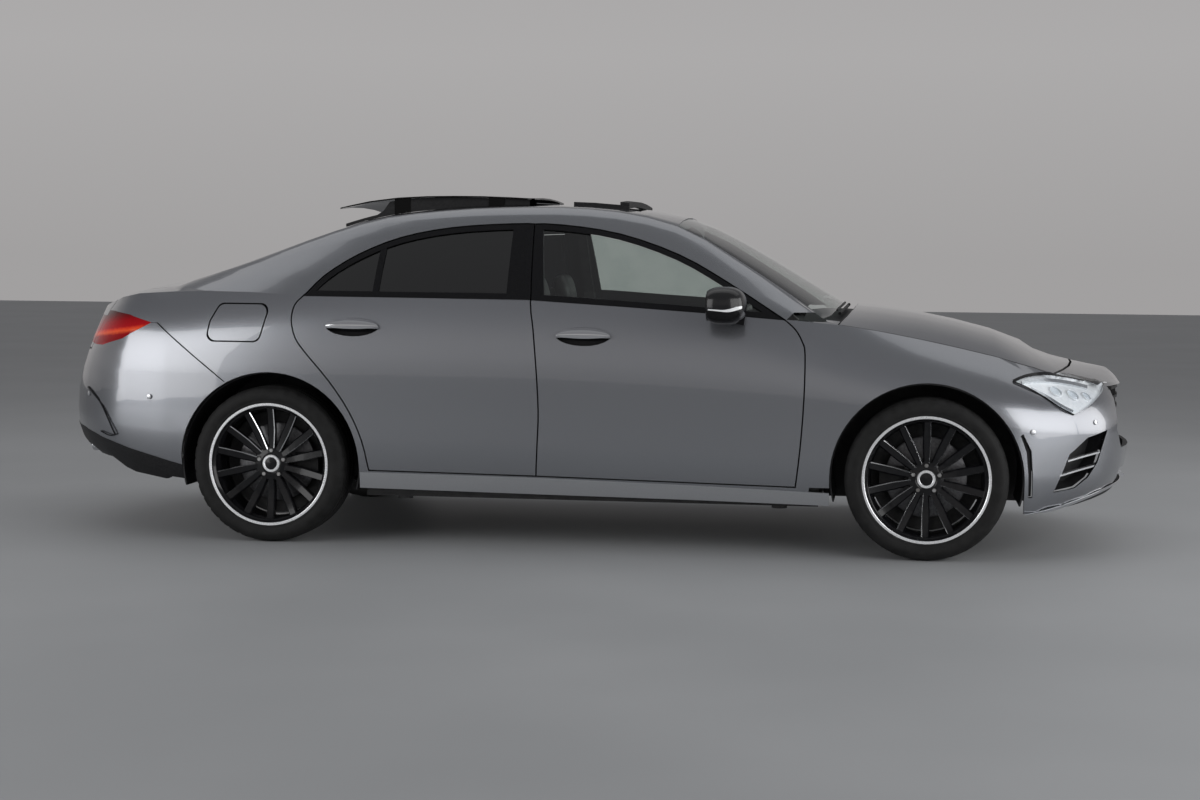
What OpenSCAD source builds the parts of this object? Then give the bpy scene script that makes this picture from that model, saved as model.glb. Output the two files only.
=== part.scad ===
// Four-door coupe: unibody shell with hung doors, bonnet and boot lid, on four steel-sprung wheels.
// Frame: +X forward, +Y to the car's left, +Z up; origin on the road under the middle of the car.

/* [Overall] */
// Length over the bumpers
length = 4688; // [4400:1:5000]
// Width over the body sides, without mirrors
body_w = 1830; // [1700:1:1980]
// Height of the roof's middle above the road
roof_h = 1440; // [1380:1:1540]
// Distance between the axles
wheelbase = 2729; // [2600:1:2800]
// Distance from the front axle to the nose
front_overhang = 870; // [820:1:920]
// Distance from the body side in to the middle of a tyre
wheel_inset = 109; // [95:1:140]

/* [Panels] */
// Gap around every panel that opens
panel_gap = 6; // [5:0.5:10]
// Thickness of an outer panel at its edge
skin_t = 16; // [10:1:20]
// Thickness of the pillars, rails and quarter panels
frame_t = 30; // [26:1:40]
// Thickness of the side and screen glass
glass_t = 5; // [4:0.5:7]
// Depth of a door's inner panel below the window line
door_depth = 105; // [80:1:125]

/* [Wheels] */
// Height of the tyre's side wall outside the rim's flange
side_wall = 69; // [55:1:85]
// Width of the tyre
tyre_w = 225; // [195:1:245]
// Outside diameter of the rim's flange
rim_d = 518; // [480:1:530]
// Number of spokes on each wheel
spokes = 14; // [10:1:20]
// Space between a tyre and its wheel arch
arch_space = 60; // [48:1:80]
// Radius of the stub axle that a wheel turns on
stub_r = 18; // [14:1:22]
// Radial running clearance of the wheels and steering pins
run_clear = 0.05; // [0.02:0.01:0.09]

/* [Hidden] */
$fn = 48;
tyre_d = rim_d + 2 * side_wall;
arch_r = tyre_d / 2 + arch_space;
track = body_w - 2 * wheel_inset;
front_x = length / 2 - front_overhang;
rear_x = front_x - wheelbase;
hub_z = tyre_d / 2;
rim_w = tyre_w - 16;
half_gap = panel_gap / 2;
eps = 0.3;
far = 6000;
paint = [0.42, 0.44, 0.47];
black = [0.03, 0.03, 0.035];
tinted = [0.10, 0.13, 0.14, 0.6];

// Layout coordinates are real millimetres on the drawn car; these carry them to the sizes set above.
function X(x) = lookup(x, [[-2344, -length / 2], [-1255, rear_x], [1474, front_x], [2344, length / 2]]);
function Y(y) = y * body_w / 1830;
function Z(z) = lookup(z, [[0, 0], [328, hub_z], [1440, roof_h], [1500, roof_h + 60]]);
function at(p) = [X(p[0]), Z(p[1])];
function outline(points) = [for (p = points) at(p)];

// Smooth curve through [x, value] pairs
function span_of(x, p, i = 0) = i >= len(p) - 2 || x < p[i + 1][0] ? i : span_of(x, p, i + 1);
function slope(p, i) = let (a = max(i - 1, 0), b = min(i + 1, len(p) - 1))
    (p[b][1] - p[a][1]) / (p[b][0] - p[a][0]);
function spline(x, p) = let (i = span_of(x, p), h = p[i + 1][0] - p[i][0], t = (x - p[i][0]) / h)
    (2 * t ^ 3 - 3 * t ^ 2 + 1) * p[i][1] + (t ^ 3 - 2 * t ^ 2 + t) * h * slope(p, i)
    + (3 * t ^ 2 - 2 * t ^ 3) * p[i + 1][1] + (t ^ 3 - t ^ 2) * h * slope(p, i + 1);
// Smooth open curve through points in a plane
function bend(a, b, c, d, t) = 0.5 * (2 * b + (c - a) * t + (2 * a - 5 * b + 4 * c - d) * t ^ 2
    + (3 * b - a - 3 * c + d) * t ^ 3);
function curve(p, n = 3) = let (m = len(p) - 1)
    [for (i = [0:m - 1], k = [0:n - 1]) bend(p[max(i - 1, 0)], p[i], p[i + 1], p[min(i + 2, m)], k / n), p[m]];
function reversed(p) = [for (i = [len(p) - 1:-1:0]) p[i]];
function ease(t) = let (c = min(max(t, 0), 1)) c * c * (3 - 2 * c);

// Lower body: half width, lower edge, upper edge, crown above that edge, roll of the shoulder
nose_from = 1750;
tail_from = -1700;
corner_power = 2.3;
function rounded_end(d) = d <= 0 ? 1 : (1 - min(d, 0.999) ^ corner_power) ^ (1 / corner_power);
function plan(x) = spline(x, [[-1900, 896], [-1255, 912], [-600, 906], [300, 903], [1000, 905], [1474, 908], [1900, 896]])
    * rounded_end((x - nose_from) / (2344 - nose_from)) * rounded_end((tail_from - x) / (2344 + tail_from));
function lower_z(x) = spline(x, [[-2344, 370], [-2200, 345], [-1983, 290], [-1650, 240], [-1255, 235], [-860, 232],
    [1075, 208], [1474, 200], [1850, 190], [2100, 215], [2344, 250]]);
function upper_z(x) = spline(x, [[-2344, 965], [-2200, 985], [-1950, 1030], [-1600, 1050], [-1255, 1046], [-600, 1033],
    [0, 1020], [500, 990], [900, 961], [1150, 937], [1474, 878], [1800, 805], [2050, 745], [2344, 690]]);
function crown(x) = spline(x, [[-2344, 45], [-1950, 50], [-1600, 55], [-1000, 20], [800, 30], [1043, 72], [1474, 100],
    [1800, 96], [2050, 84], [2344, 60]]);
function roll(x) = spline(x, [[-2344, 0.22], [-1800, 0.14], [-1255, 0.09], [-600, 0.06], [0, 0.055], [600, 0.06],
    [950, 0.085], [1150, 0.13], [1474, 0.20], [1800, 0.22], [2344, 0.25]]);
function tuck(x) = spline(x, [[-2344, 0.10], [-1255, 0.05], [0, 0.055], [1474, 0.05], [2344, 0.06]]);
function nose_back(z) = spline(z, [[150, -130], [230, -75], [300, -25], [450, 0], [600, -2], [700, -40], [760, -105], [830, -230]]);
function tail_in(z) = spline(z, [[290, 130], [351, 40], [430, 5], [520, 0], [640, 10], [800, 58], [900, 88], [1040, 115]]);
function sheared(x, z) = x + nose_back(z) * ease((x - 1800) / 500) + tail_in(z) * ease((-1800 - x) / 500);
function side_width(x, v) = plan(x) * (1 - tuck(x) * max(0, 1 - v / 0.28) ^ 2 - roll(x) * max(0, (v - 0.55) / 0.45) ^ 2.4);
function edge_y(x) = side_width(x, 1);

body_steps = [0, 0.07, 0.15, 0.27, 0.42, 0.57, 0.68, 0.78, 0.86, 0.93, 1];
top_steps = [0.82, 0.55, 0.28];
inner_body_steps = [0, 0.15, 0.42, 0.7, 0.86, 1];
inner_top_steps = [0.55];
function body_section(x, steps, tops) = let (lo = lower_z(x), hi = upper_z(x), e = edge_y(x), c = crown(x)) concat(
    [for (v = steps) let (z = lo + (hi - lo) * v) [sheared(x, z), -side_width(x, v), z]],
    [for (q = tops) let (z = hi + c * (1 - q * q)) [sheared(x, z), -e * q, z]]);
function end_angle_x(from, reach, a) = from + reach * sin(a) ^ (2 / corner_power);
end_angles = [86, 78, 70, 61, 51, 40, 28, 14];
body_stations = concat(
    [for (a = end_angles) end_angle_x(tail_from, -2344 - tail_from, a)],
    [for (i = [0:22]) tail_from + (nose_from - tail_from) * i / 22],
    [for (i = [len(end_angles) - 1:-1:0]) end_angle_x(nose_from, 2344 - nose_from, end_angles[i])]);

// Cabin: roof rail, its half width, and the middle line of the screens and roof
function rail_z(x) = spline(x, [[-1950, 985], [-1750, 1072], [-1432, 1180], [-1075, 1308], [-854, 1370], [-548, 1405],
    [-244, 1418], [13, 1416], [269, 1386], [481, 1322], [692, 1200], [903, 1066], [1050, 965], [1300, 790]]);
function rail_y(x) = spline(x, [[-1950, 600], [-1636, 605], [-1075, 595], [-548, 605], [0, 608], [481, 625], [903, 700],
    [1050, 735], [1300, 780]]);
function spine_z(x) = spline(x, [[-1950, 1000], [-1741, 1096], [-1432, 1216], [-1075, 1342], [-854, 1396], [-548, 1428],
    [-244, 1440], [13, 1440], [269, 1420], [481, 1372], [692, 1272], [903, 1150], [1050, 1062], [1200, 975], [1300, 915]]);
cabin_sink = 130;
belt_step = 10;
cabin_bulge = 14;
side_steps = [0, 0.3, 0.55, 0.76, 0.9];
roof_steps = [0.88, 0.62, 0.32];
inner_side_steps = [0, 0.55, 0.9];
inner_roof_steps = [0.62];
function cabin_section(x, sides, roofs) = let (rz = rail_z(x), ry = rail_y(x), w = edge_y(x) - belt_step,
    base = min(upper_z(x), rz - 40), sz = spine_z(x)) concat(
    [[x, -(w - 40), base - cabin_sink]],
    [for (t = sides) [x, -(w + (ry - w) * t + cabin_bulge * 4 * t * (1 - t)), base + (rz - base) * t]],
    [[x, -ry * 0.985, rz - 4]],
    [for (q = roofs) [x, -ry * q, rz + (sz - rz) * (1 - q * q)]]);
cabin_stations = [for (i = [0:26]) -1930 + (1290 + 1930) * i / 26];

// Both halves of a row of sections, carried to real sizes
function both_halves(half, top_z) = concat(half, [[half[0][0], 0, top_z]],
    [for (i = [len(half) - 1:-1:0]) [half[i][0], -half[i][1], half[i][2]]]);
function body_row(x, steps, tops) = let (z = upper_z(x) + crown(x), s = body_section(x, steps, tops))
    [for (p = both_halves(s, z)) [X(p[1] == 0 ? sheared(x, z) : p[0]), Y(p[1]), Z(p[2])]];
function cabin_row(x, sides, roofs) = [for (p = both_halves(cabin_section(x, sides, roofs), spine_z(x)))
    [X(p[0]), Y(p[1]), Z(p[2])]];
function every_other(list) = [for (i = [0:2:len(list) - 1]) list[i]];
body_grid = [for (x = body_stations) body_row(x, body_steps, top_steps)];
cabin_grid = [for (x = cabin_stations) cabin_row(x, side_steps, roof_steps)];
// Hidden inner faces need fewer points
inner_body_grid = [for (x = every_other(body_stations)) body_row(x, inner_body_steps, inner_top_steps)];
inner_cabin_grid = [for (x = every_other(cabin_stations)) cabin_row(x, inner_side_steps, inner_roof_steps)];
inner_from = 12;

function unit(v) = v / max(norm(v), 1e-6);
function outward(g, i, j) = let (a = g[min(i + 1, len(g) - 1)][j] - g[max(i - 1, 0)][j],
    b = g[i][min(j + 1, len(g[i]) - 1)] - g[i][max(j - 1, 0)]) unit(cross(a, b));
// The same grid moved in by t, with its open lower edge drawn down so that a shell has no floor
function moved_in(g, t) = t == 0 ? g : [for (i = [0:len(g) - 1]) [for (j = [0:len(g[i]) - 1])
    let (edge = j == 0 || j == len(g[i]) - 1) g[i][j] - t * outward(g, i, j) - (edge ? [0, 0, 90] : [0, 0, 0])]];

// Closed solid through a grid of sections
module lofted(g) {
    rows = len(g);
    cols = len(g[0]);
    half = (cols - 1) / 2;
    polyhedron(
        points = [for (r = g, p = r) p],
        faces = concat(
            [for (i = [0:rows - 2], j = [0:cols - 2], k = [0, 1]) let (a = i * cols + j)
                k == 0 ? [a, a + 1, a + cols] : [a + 1, a + cols + 1, a + cols]],
            [for (i = [0:rows - 2], k = [0, 1]) let (a = i * cols, b = a + cols - 1)
                k == 0 ? [a, a + cols, b] : [a + cols, b + cols, b]],
            [for (j = [0:half - 1]) let (b = cols - 1 - j) j == half - 1 ? [j, b, j + 1] : [j, b, b - 1, j + 1]],
            [for (j = [0:half - 1]) let (o = (rows - 1) * cols, b = cols - 1 - j)
                j == half - 1 ? [o + j, o + j + 1, o + b] : [o + j, o + j + 1, o + b - 1, o + b]]));
}
module skin(t) {
    lofted(moved_in(t > inner_from ? inner_body_grid : body_grid, t));
    lofted(moved_in(t > inner_from ? inner_cabin_grid : cabin_grid, t));
}
module shell(from, to) {
    difference() {
        skin(from);
        skin(to);
    }
}
// Zeros keep every size: the children are joined as one mesh
module pressed() {
    resize([0, 0, 0]) children();
}
// Prisms through the car: across from the right side, and upwards
module across(reach = 1200) {
    rotate([90, 0, 0]) linear_extrude(reach) children();
}
module upwards() {
    linear_extrude(far, center = true) children();
}
module both_sides() {
    children();
    mirror([0, 1, 0]) children();
}

// Side-view lines
belt_line = [[-1124, 1034], [-615, 1032], [-172, 1029], [223, 1006], [552, 985], [898, 958]];
front_door_lead = [[898, 958], [939, 922], [968, 874], [981, 821], [980, 639], [967, 436], [950, 284]];
door_split = [[-170, 1345], [-152, 1030], [-134, 907], [-117, 742], [-107, 577], [-110, 453], [-118, 303]];
rear_door_trail = [[-1124, 1034], [-1155, 997], [-1163, 934], [-1142, 863], [-1103, 809], [-995, 686], [-909, 561],
    [-853, 437], [-826, 311]];
window_arch = [[898, 958], [660, 1106], [450, 1220], [198, 1305], [-55, 1342], [-268, 1345], [-525, 1327], [-741, 1284],
    [-915, 1212], [-1046, 1124], [-1124, 1034]];
split_x = -170;
function arch_part(from, to) = [for (p = curve(window_arch, 3)) if (p[0] >= from && p[0] <= to) p];
front_door_outline = concat(curve(front_door_lead), reversed(curve(door_split)),
    reversed(arch_part(split_x + 20, 880)));
rear_door_outline = concat(curve(door_split), reversed(curve(rear_door_trail)), reversed(arch_part(-1110, split_x - 20)));
bumper_cut_rear = [[-2500, 915], [-1758, 915], [-1440, 668], [-1440, 100], [-2500, 100]];
fender_front_cut = [[1640, 640], [1807, 730], [1960, 747], [1960, 900], [2500, 900], [2500, 100], [1640, 100]];

module front_door_shape(d = 0) {
    offset(delta = d) polygon(outline(front_door_outline));
}
module rear_door_shape(d = 0) {
    offset(delta = d) polygon(outline(rear_door_outline));
}
module arch_shape(x, r = arch_r) {
    translate([x, hub_z]) circle(r, $fn = 64);
    translate([x - r, -200]) square([2 * r, hub_z + 200]);
}
module window_area(d = 0) {
    offset(delta = d) polygon(outline(concat(curve(belt_line), curve(window_arch, 3))));
}
// Width of the frame round the side glass
sash = 24;
post_front = [[-140, 1400], [-85, 930], [1000, 930], [1000, 1400]];
post_rear = [[-257, 930], [-257, 1400], [-1300, 1400], [-1300, 930]];
module side_window(half, d = 0) {
    intersection() {
        window_area(-sash - d);
        offset(delta = -d) polygon(outline(half));
    }
}

// Plan-view lines of the top panels
function top_line(x) = rail_y(x) - 22;
roof_front = 430;
roof_back = -1010;
cowl_x = 1175;
deck_x = -1745;
function strip_stations(x0, x1) = concat([x0], [for (x = [-1850:80:1330]) if (x > x0 + 5 && x < x1 - 5) x], [x1]);
function plan_strip(x0, x1, d) = let (xs = strip_stations(x0, x1)) concat(
    [for (x = xs) [X(x), -Y(top_line(x)) - d]],
    reversed([for (x = xs) [X(x), Y(top_line(x)) + d]]));
hood_front = 2100;
function hood_side(x) = edge_y(x) - 6;
hood_corner = 1985;
hood_lines = [for (i = [0:12]) let (x = 1110 + (hood_corner - 1110) * i / 12) [x, hood_side(x)]];
module hood_plan(d = 0) {
    offset(delta = d) polygon(concat(
        [for (p = hood_lines) [X(p[0]), -Y(p[1])]],
        [for (i = [0:8]) let (a = -1 + i / 4) [X(hood_corner + (hood_front - hood_corner) * (1 - a * a)), Y(a * hood_lines[12][1])]],
        reversed([for (p = hood_lines) [X(p[0]), Y(p[1])]]),
        [for (i = [1:7]) let (a = 1 - i / 4) [X(1110 + (cowl_x - 1110) * (1 - a * a)), Y(a * hood_lines[0][1])]]));
}
lid_half_w = 590;
lid_low_z = 790;
module lid_plan(d = 0) {
    offset(delta = d) polygon([[X(deck_x), -Y(lid_half_w)], [X(deck_x), Y(lid_half_w)], [X(-2600), Y(lid_half_w + 30)],
        [X(-2600), -Y(lid_half_w + 30)]]);
}

// Doors turn about upright axes close to the skin
front_hinge = [940, 893];
rear_hinge = [-160, 893];
hinge_relief = 58;
module split_strip(w) {
    polygon(outline(concat([for (p = door_split) p - [w, 0]], reversed([for (p = door_split) p + [w, 0]]))));
}
module posts() {
    intersection() {
        skin(frame_t - 3);
        union() {
            difference() {
                plate(1000, 1046, -870, -745, 275.3, 930);
                across() arch_shape(front_x);
            }
            intersection() {
                across() split_strip(25);
                plate(-400, 400, -832, -765, 275.3, 1040);
            }
        }
    }
}
// Body side: quarter panel, roof rail, pillars and inner sill, with the door openings and their flanges
module body_side(filler = false) {
    color(paint) pressed() union() {
        difference() {
            intersection() {
                shell(0, frame_t);
                across() polygon(outline([[-2260, 700], [-2260, 1500], [1400, 1500], [1080, 900], [1000, 240], [-860, 240], [-1440, 600]]));
            }
            across() front_door_shape(half_gap);
            across() rear_door_shape(half_gap);
            across() polygon(outline(concat(curve(front_door_lead), [[2400, 284], [2400, 990], [930, 990]])));
            across() polygon(outline(bumper_cut_rear));
            across() arch_shape(rear_x);
            if (filler) across() fuel_flap_shape(half_gap);
            across() tail_lamp_shape();
            across() skirt_shape(eps);
            upwards() polygon(plan_strip(-1790, 1330, 0));
            upwards() lid_plan(half_gap);
            upwards() hood_plan(half_gap);
        }
        intersection() {
            shell(24, 46);
            across() difference() {
                union() {
                    front_door_shape(34);
                    rear_door_shape(34);
                }
                front_door_shape(-22);
                rear_door_shape(-22);
                arch_shape(rear_x, arch_r + 4);
            }
            across() polygon(outline([[-1500, 250], [-1500, 1500], [1080, 1500], [1080, 250]]));
            upwards() translate([-far / 2, -far]) square([far, far - Y(560)]);
            difference() {
                cube(2 * far, center = true);
                for (h = [front_hinge, rear_hinge]) translate([X(h[0]), -Y(h[1]), 0]) cylinder(r = hinge_relief, h = Z(1015), $fn = 24);
            }
        }
        posts();
        if (filler) filler_cup();
    }
}
// Recess behind the fuel flap, with the filler's cap in it
cup_y = 775;
module filler_cup() {
    intersection() {
        lofted(moved_in(inner_body_grid, frame_t - 4));
        right_of(cup_y);
        across() difference() {
            fuel_flap_shape(half_gap + 6);
            fuel_flap_shape(half_gap);
        }
    }
    translate([0, -Y(cup_y) + 5, 0]) rotate([90, 0, 0]) linear_extrude(8) fuel_flap_shape(half_gap + 6);
    translate([X(-1410), -Y(cup_y), Z(925)]) rotate([90, 0, 0]) cylinder(r = 34, h = 30, $fn = 20);
}

fuel_flap_line = [[-1532, 842], [-1520, 925], [-1484, 1000], [-1262, 1000], [-1282, 915], [-1300, 842]];
module fuel_flap_shape(d = 0) {
    offset(r = 34, $fn = 28) offset(delta = d - 34) polygon(outline(fuel_flap_line));
}
module fuel_flap() {
    color(paint) pressed() intersection() {
        shell(0, skin_t);
        across() fuel_flap_shape(-half_gap);
    }
}
tail_lamp_line = [[-2400, 812], [-2049, 812], [-1923, 845], [-1788, 915], [-1900, 945], [-2012, 958], [-2400, 958]];
module tail_lamp_shape(d = 0) {
    offset(delta = d) polygon(outline(tail_lamp_line));
}
module tail_lamps() {
    color([0.55, 0.02, 0.03]) both_sides() pressed() difference() {
        intersection() {
            shell(0, 60);
            across() tail_lamp_shape(-eps);
        }
        upwards() lid_plan(half_gap);
    }
}

module front_fender() {
    color(paint) pressed() difference() {
        intersection() {
            shell(0, skin_t);
            across() polygon(outline(concat(curve(front_door_lead), [[1100, 284], [2200, 284], [2200, 1000], [1150, 1060], [934, 990]])));
        }
        across() front_door_shape(half_gap);
        across() arch_shape(front_x);
        across() polygon(outline(fender_front_cut));
        across() headlamp_shape();
        upwards() hood_plan(half_gap);
        upwards() polygon(plan_strip(0, 1140, 0));
        upwards() polygon(plan_strip(0, 1330, -14));
        cabin_cut();
    }
}
module cabin_cut() {
    lofted(moved_in(cabin_grid, -2));
}
module front_fenders() {
    both_sides() front_fender();
}

module through() {
    rotate([90, 0, 0]) linear_extrude(far, center = true) children();
}
// Prism forwards from the middle of the car
module ahead() {
    rotate([90, 0, 90]) linear_extrude(far) children();
}
module behind() {
    mirror([1, 0, 0]) ahead() children();
}
module right_of(y) {
    upwards() translate([-far, -2 * far - Y(y)]) square([2 * far, 2 * far]);
}
function mirrored(half) = concat(half, [for (i = [len(half) - 1:-1:0]) [-half[i][0], half[i][1]]]);
function front_view(half) = [for (p = mirrored(half)) [Y(p[0]), Z(p[1])]];
grille_half = [[430, 690], [520, 600], [545, 520], [480, 440]];
lower_intake_half = [[430, 350], [470, 262]];
module grille_shape(d = 0) {
    offset(delta = d) polygon(front_view(grille_half));
}
side_intake_line = [[1978, 282], [2008, 352], [2040, 436], [2116, 500], [2204, 524], [2186, 470], [2163, 398],
    [2121, 335], [2068, 297]];
air_slot_line = [[1842, 512], [1866, 448], [1876, 350], [1878, 262], [1894, 262], [1893, 360], [1886, 452], [1852, 520]];
module side_intakes() {
    both_sides() {
        intersection() {
            across() polygon(outline(side_intake_line));
            right_of(500);
        }
        intersection() {
            across() polygon(outline(air_slot_line));
            right_of(700);
        }
    }
}
headlamp_line = [[1812, 726], [1852, 745], [1900, 757], [1965, 758], [2050, 746], [2150, 722], [2215, 713], [2188, 670],
    [2140, 634], [2100, 610], [2058, 594], [2000, 624], [1939, 664], [1870, 702]];
module headlamp_shape(d = 0) {
    offset(delta = d) polygon(outline(headlamp_line));
}
module headlamps() {
    color([0.75, 0.8, 0.85]) both_sides() pressed() difference() {
        intersection() {
            shell(0, 55);
            across() headlamp_shape(-eps);
            right_of(430);
        }
        upwards() hood_plan(half_gap);
    }
}
module front_bumper() {
    color(paint) pressed() difference() {
        intersection() {
            shell(0, skin_t);
            through() polygon(outline(fender_front_cut));
        }
        both_sides() intersection() {
            across() headlamp_shape();
            right_of(430);
        }
        through() arch_shape(front_x);
        upwards() hood_plan(half_gap);
        ahead() grille_shape();
        ahead() polygon(front_view(lower_intake_half));
        side_intakes();
        through() polygon(outline(splitter_line));
    }
}
splitter_line = [[1700, 100], [1700, 185], [1864, 189], [2025, 227], [2232, 282], [2400, 290], [2400, 100]];
module splitter() {
    color(black) pressed() difference() {
        intersection() {
            shell(0, skin_t + 20);
            through() offset(delta = -eps) polygon(outline(splitter_line));
        }
        through() arch_shape(front_x);
    }
}
grille_in = 45;
grille_arc = 1500;
function grille_x(y) = length / 2 - grille_in - grille_arc + sqrt(grille_arc ^ 2 - y ^ 2);
module grille_band(half, z, h, depth) {
    translate([0, 0, Z(z)]) linear_extrude(h) polygon(concat(
        [for (i = [-4:4]) let (y = Y(half) * i / 4) [grille_x(y), y]],
        [for (i = [4:-1:-4]) let (y = Y(half) * i / 4) [grille_x(y) - depth, y]]));
}
module grille() {
    color(black) {
        for (row = [[465, 455], [500, 500], [515, 545], [500, 590], [465, 635], [425, 676]]) grille_band(row[0], row[1], 12, 30);
        for (y = [-400:100:400]) translate([grille_x(Y(y)) - 24, Y(y) - 5, Z(455)]) cube([16, 10, Z(686) - Z(455)]);
        for (y = [-350, 350]) plate(2160.3, 2235, y - 6, y + 6, 500, 560);
    }
}
diffuser_line = [[-2500, 470], [-2155, 449], [-1969, 401], [-1640, 315], [-1600, 100], [-2500, 100]];
module rear_bumper() {
    color(paint) pressed() difference() {
        intersection() {
            shell(0, skin_t);
            through() offset(delta = -half_gap / 2) polygon(outline(bumper_cut_rear));
        }
        both_sides() across() tail_lamp_shape();
        through() arch_shape(rear_x);
        through() polygon(outline(diffuser_line));
        intersection() {
            upwards() lid_plan(half_gap);
            translate([-far, -far / 2, Z(lid_low_z) - half_gap]) cube(far);
        }
    }
}
module rear_diffuser() {
    color(black) pressed() difference() {
        intersection() {
            shell(0, skin_t);
            through() offset(delta = -1) polygon(outline(diffuser_line));
        }
        through() arch_shape(rear_x);
    }
}
module trunk_lid() {
    color(paint) pressed() difference() {
        intersection() {
            shell(0, skin_t);
            upwards() lid_plan(-half_gap);
            translate([-far, -far / 2, Z(lid_low_z) + half_gap]) cube(far);
        }
        lid_lamp_space(0);
    }
}
module lid_lamp_space(d) {
    both_sides() intersection() {
        across() offset(delta = -d) polygon(outline([[-2500, 815], [-2000, 815], [-2000, 935], [-2500, 935]]));
        right_of(330 + d);
        behind() polygon([for (p = [[-900, 700], [-900, 1000], [900, 1000], [900, 700]]) [p[0], Z(p[1])]]);
    }
}
module lid_lamps() {
    color([0.55, 0.02, 0.03]) pressed() intersection() {
        shell(0, skin_t + 4);
        upwards() lid_plan(-half_gap);
        lid_lamp_space(eps);
    }
}
module windscreen() {
    color(tinted) pressed() difference() {
        intersection() {
            shell(3, 3 + glass_t);
            upwards() polygon(plan_strip(roof_front + eps, cowl_x + 60, -eps));
        }
        lofted(moved_in(body_grid, -1));
    }
}
module rear_window() {
    color(tinted) pressed() difference() {
        intersection() {
            shell(3, 3 + glass_t);
            upwards() polygon(plan_strip(deck_x - 60, roof_back - eps, -eps));
        }
        lofted(moved_in(body_grid, -1));
    }
}
sunroof_x = [250, -600];
sunroof_half = 430;
module roof_panel() {
    color(paint) pressed() difference() {
        intersection() {
            shell(0, frame_t);
            upwards() polygon(plan_strip(roof_back, roof_front, -eps));
        }
        upwards() translate([X(sunroof_x[1]), -Y(sunroof_half)]) square([X(sunroof_x[0]) - X(sunroof_x[1]), 2 * Y(sunroof_half)]);
    }
}
module roof_layer(from, to) {
    intersection() {
        difference() {
            lofted(moved_in(cabin_grid, from));
            lofted(moved_in(cabin_grid, to));
        }
        translate([-far / 2, -far / 2, Z(1200)]) cube(far);
    }
}
// The open glass, slid back above the roof and tipped up about its front edge
glass_tilt = 4;
glass_x = [-220, -1085];
module tipped() {
    translate([X(glass_x[0]), 0, Z(1430)]) rotate([0, glass_tilt, 0]) translate([-X(glass_x[0]), 0, -Z(1430)]) children();
}
module sunroof_glass() {
    color(black) pressed() {
        tipped() intersection() {
            roof_layer(-30, -24);
            upwards() offset(r = 40) translate([X(glass_x[1]) + 40, -Y(sunroof_half) + 45])
                square([X(glass_x[0]) - X(glass_x[1]) - 80, 2 * Y(sunroof_half) - 90]);
        }
        both_sides() difference() {
            intersection() {
                tipped() roof_layer(-27, 150);
                upwards() for (x = [-420, -840]) translate([X(x), -Y(sunroof_half) + 30]) square([70, 14]);
            }
            lofted(moved_in(cabin_grid, -eps));
        }
    }
}
module wind_deflector() {
    color(black) pressed() {
        intersection() {
            roof_layer(-28, -4);
            upwards() translate([X(160), -Y(sunroof_half) + 12]) square([40, 2 * Y(sunroof_half) - 24]);
        }
        both_sides() intersection() {
            roof_layer(-16, 6);
            upwards() translate([X(-40), -Y(sunroof_half) + eps]) square([X(200) - X(-40), 14]);
        }
    }
}
skirt_top = [[1092, 262], [564, 280], [-114, 296], [-868, 303]];
skirt_low = [[-868, 236], [-114, 226], [564, 219], [1092, 210]];
module skirt_shape(d = 0) {
    offset(delta = d) polygon(outline(concat(skirt_top, skirt_low)));
}
module side_skirts() {
    color([0.7, 0.72, 0.74]) both_sides() pressed() difference() {
        intersection() {
            shell(2, 22);
            across() skirt_shape();
        }
        for (x = [front_x, rear_x]) across() arch_shape(x);
    }
}
module front_glass() {
    color(tinted) pressed() intersection() {
        shell(6, 6 + glass_t);
        across() side_window(post_front, eps);
        across() front_door_shape(-sash - half_gap);
    }
}
module rear_glass() {
    color([0.03, 0.03, 0.035, 0.8]) pressed() intersection() {
        shell(6, 6 + glass_t);
        across() side_window(post_rear, eps);
        across() rear_door_shape(-sash - half_gap);
    }
}
module front_door() {
    color(paint) pressed() difference() {
        door_skin() {
            front_door_shape(-half_gap);
            front_door_shape(-half_gap - 34);
            side_window(post_front);
        }
        handle_cup(front_handle);
    }
}
module door_skin() {
    difference() {
        union() {
            intersection() {
                shell(0, skin_t);
                across() children(0);
            }
            intersection() {
                skin(skin_t - 1);
                across() difference() {
                    children(1);
                    window_area(sash + 1);
                }
                upwards() translate([-far / 2, -far]) square([far, far - Y(880 - door_depth)]);
            }
        }
        across() children(2);
    }
}
module rear_door() {
    color(paint) pressed() difference() {
        door_skin() {
            rear_door_shape(-half_gap);
            rear_door_shape(-half_gap - 34);
            side_window(post_rear);
        }
        handle_cup(rear_handle);
    }
}
// Room ahead of the bonnet's front edge, which moves forward as it starts to rise
hood_swing = 7;
module hood() {
    color(paint) pressed() intersection() {
        shell(0, skin_t);
        upwards() hood_plan(-half_gap);
        upwards() translate([-hood_swing, 0]) hood_plan(0);
        translate([-far / 2, -far / 2, Z(600)]) cube(far);
        difference() {
            cube(2 * far, center = true);
            cabin_cut();
        }
    }
}

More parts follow.
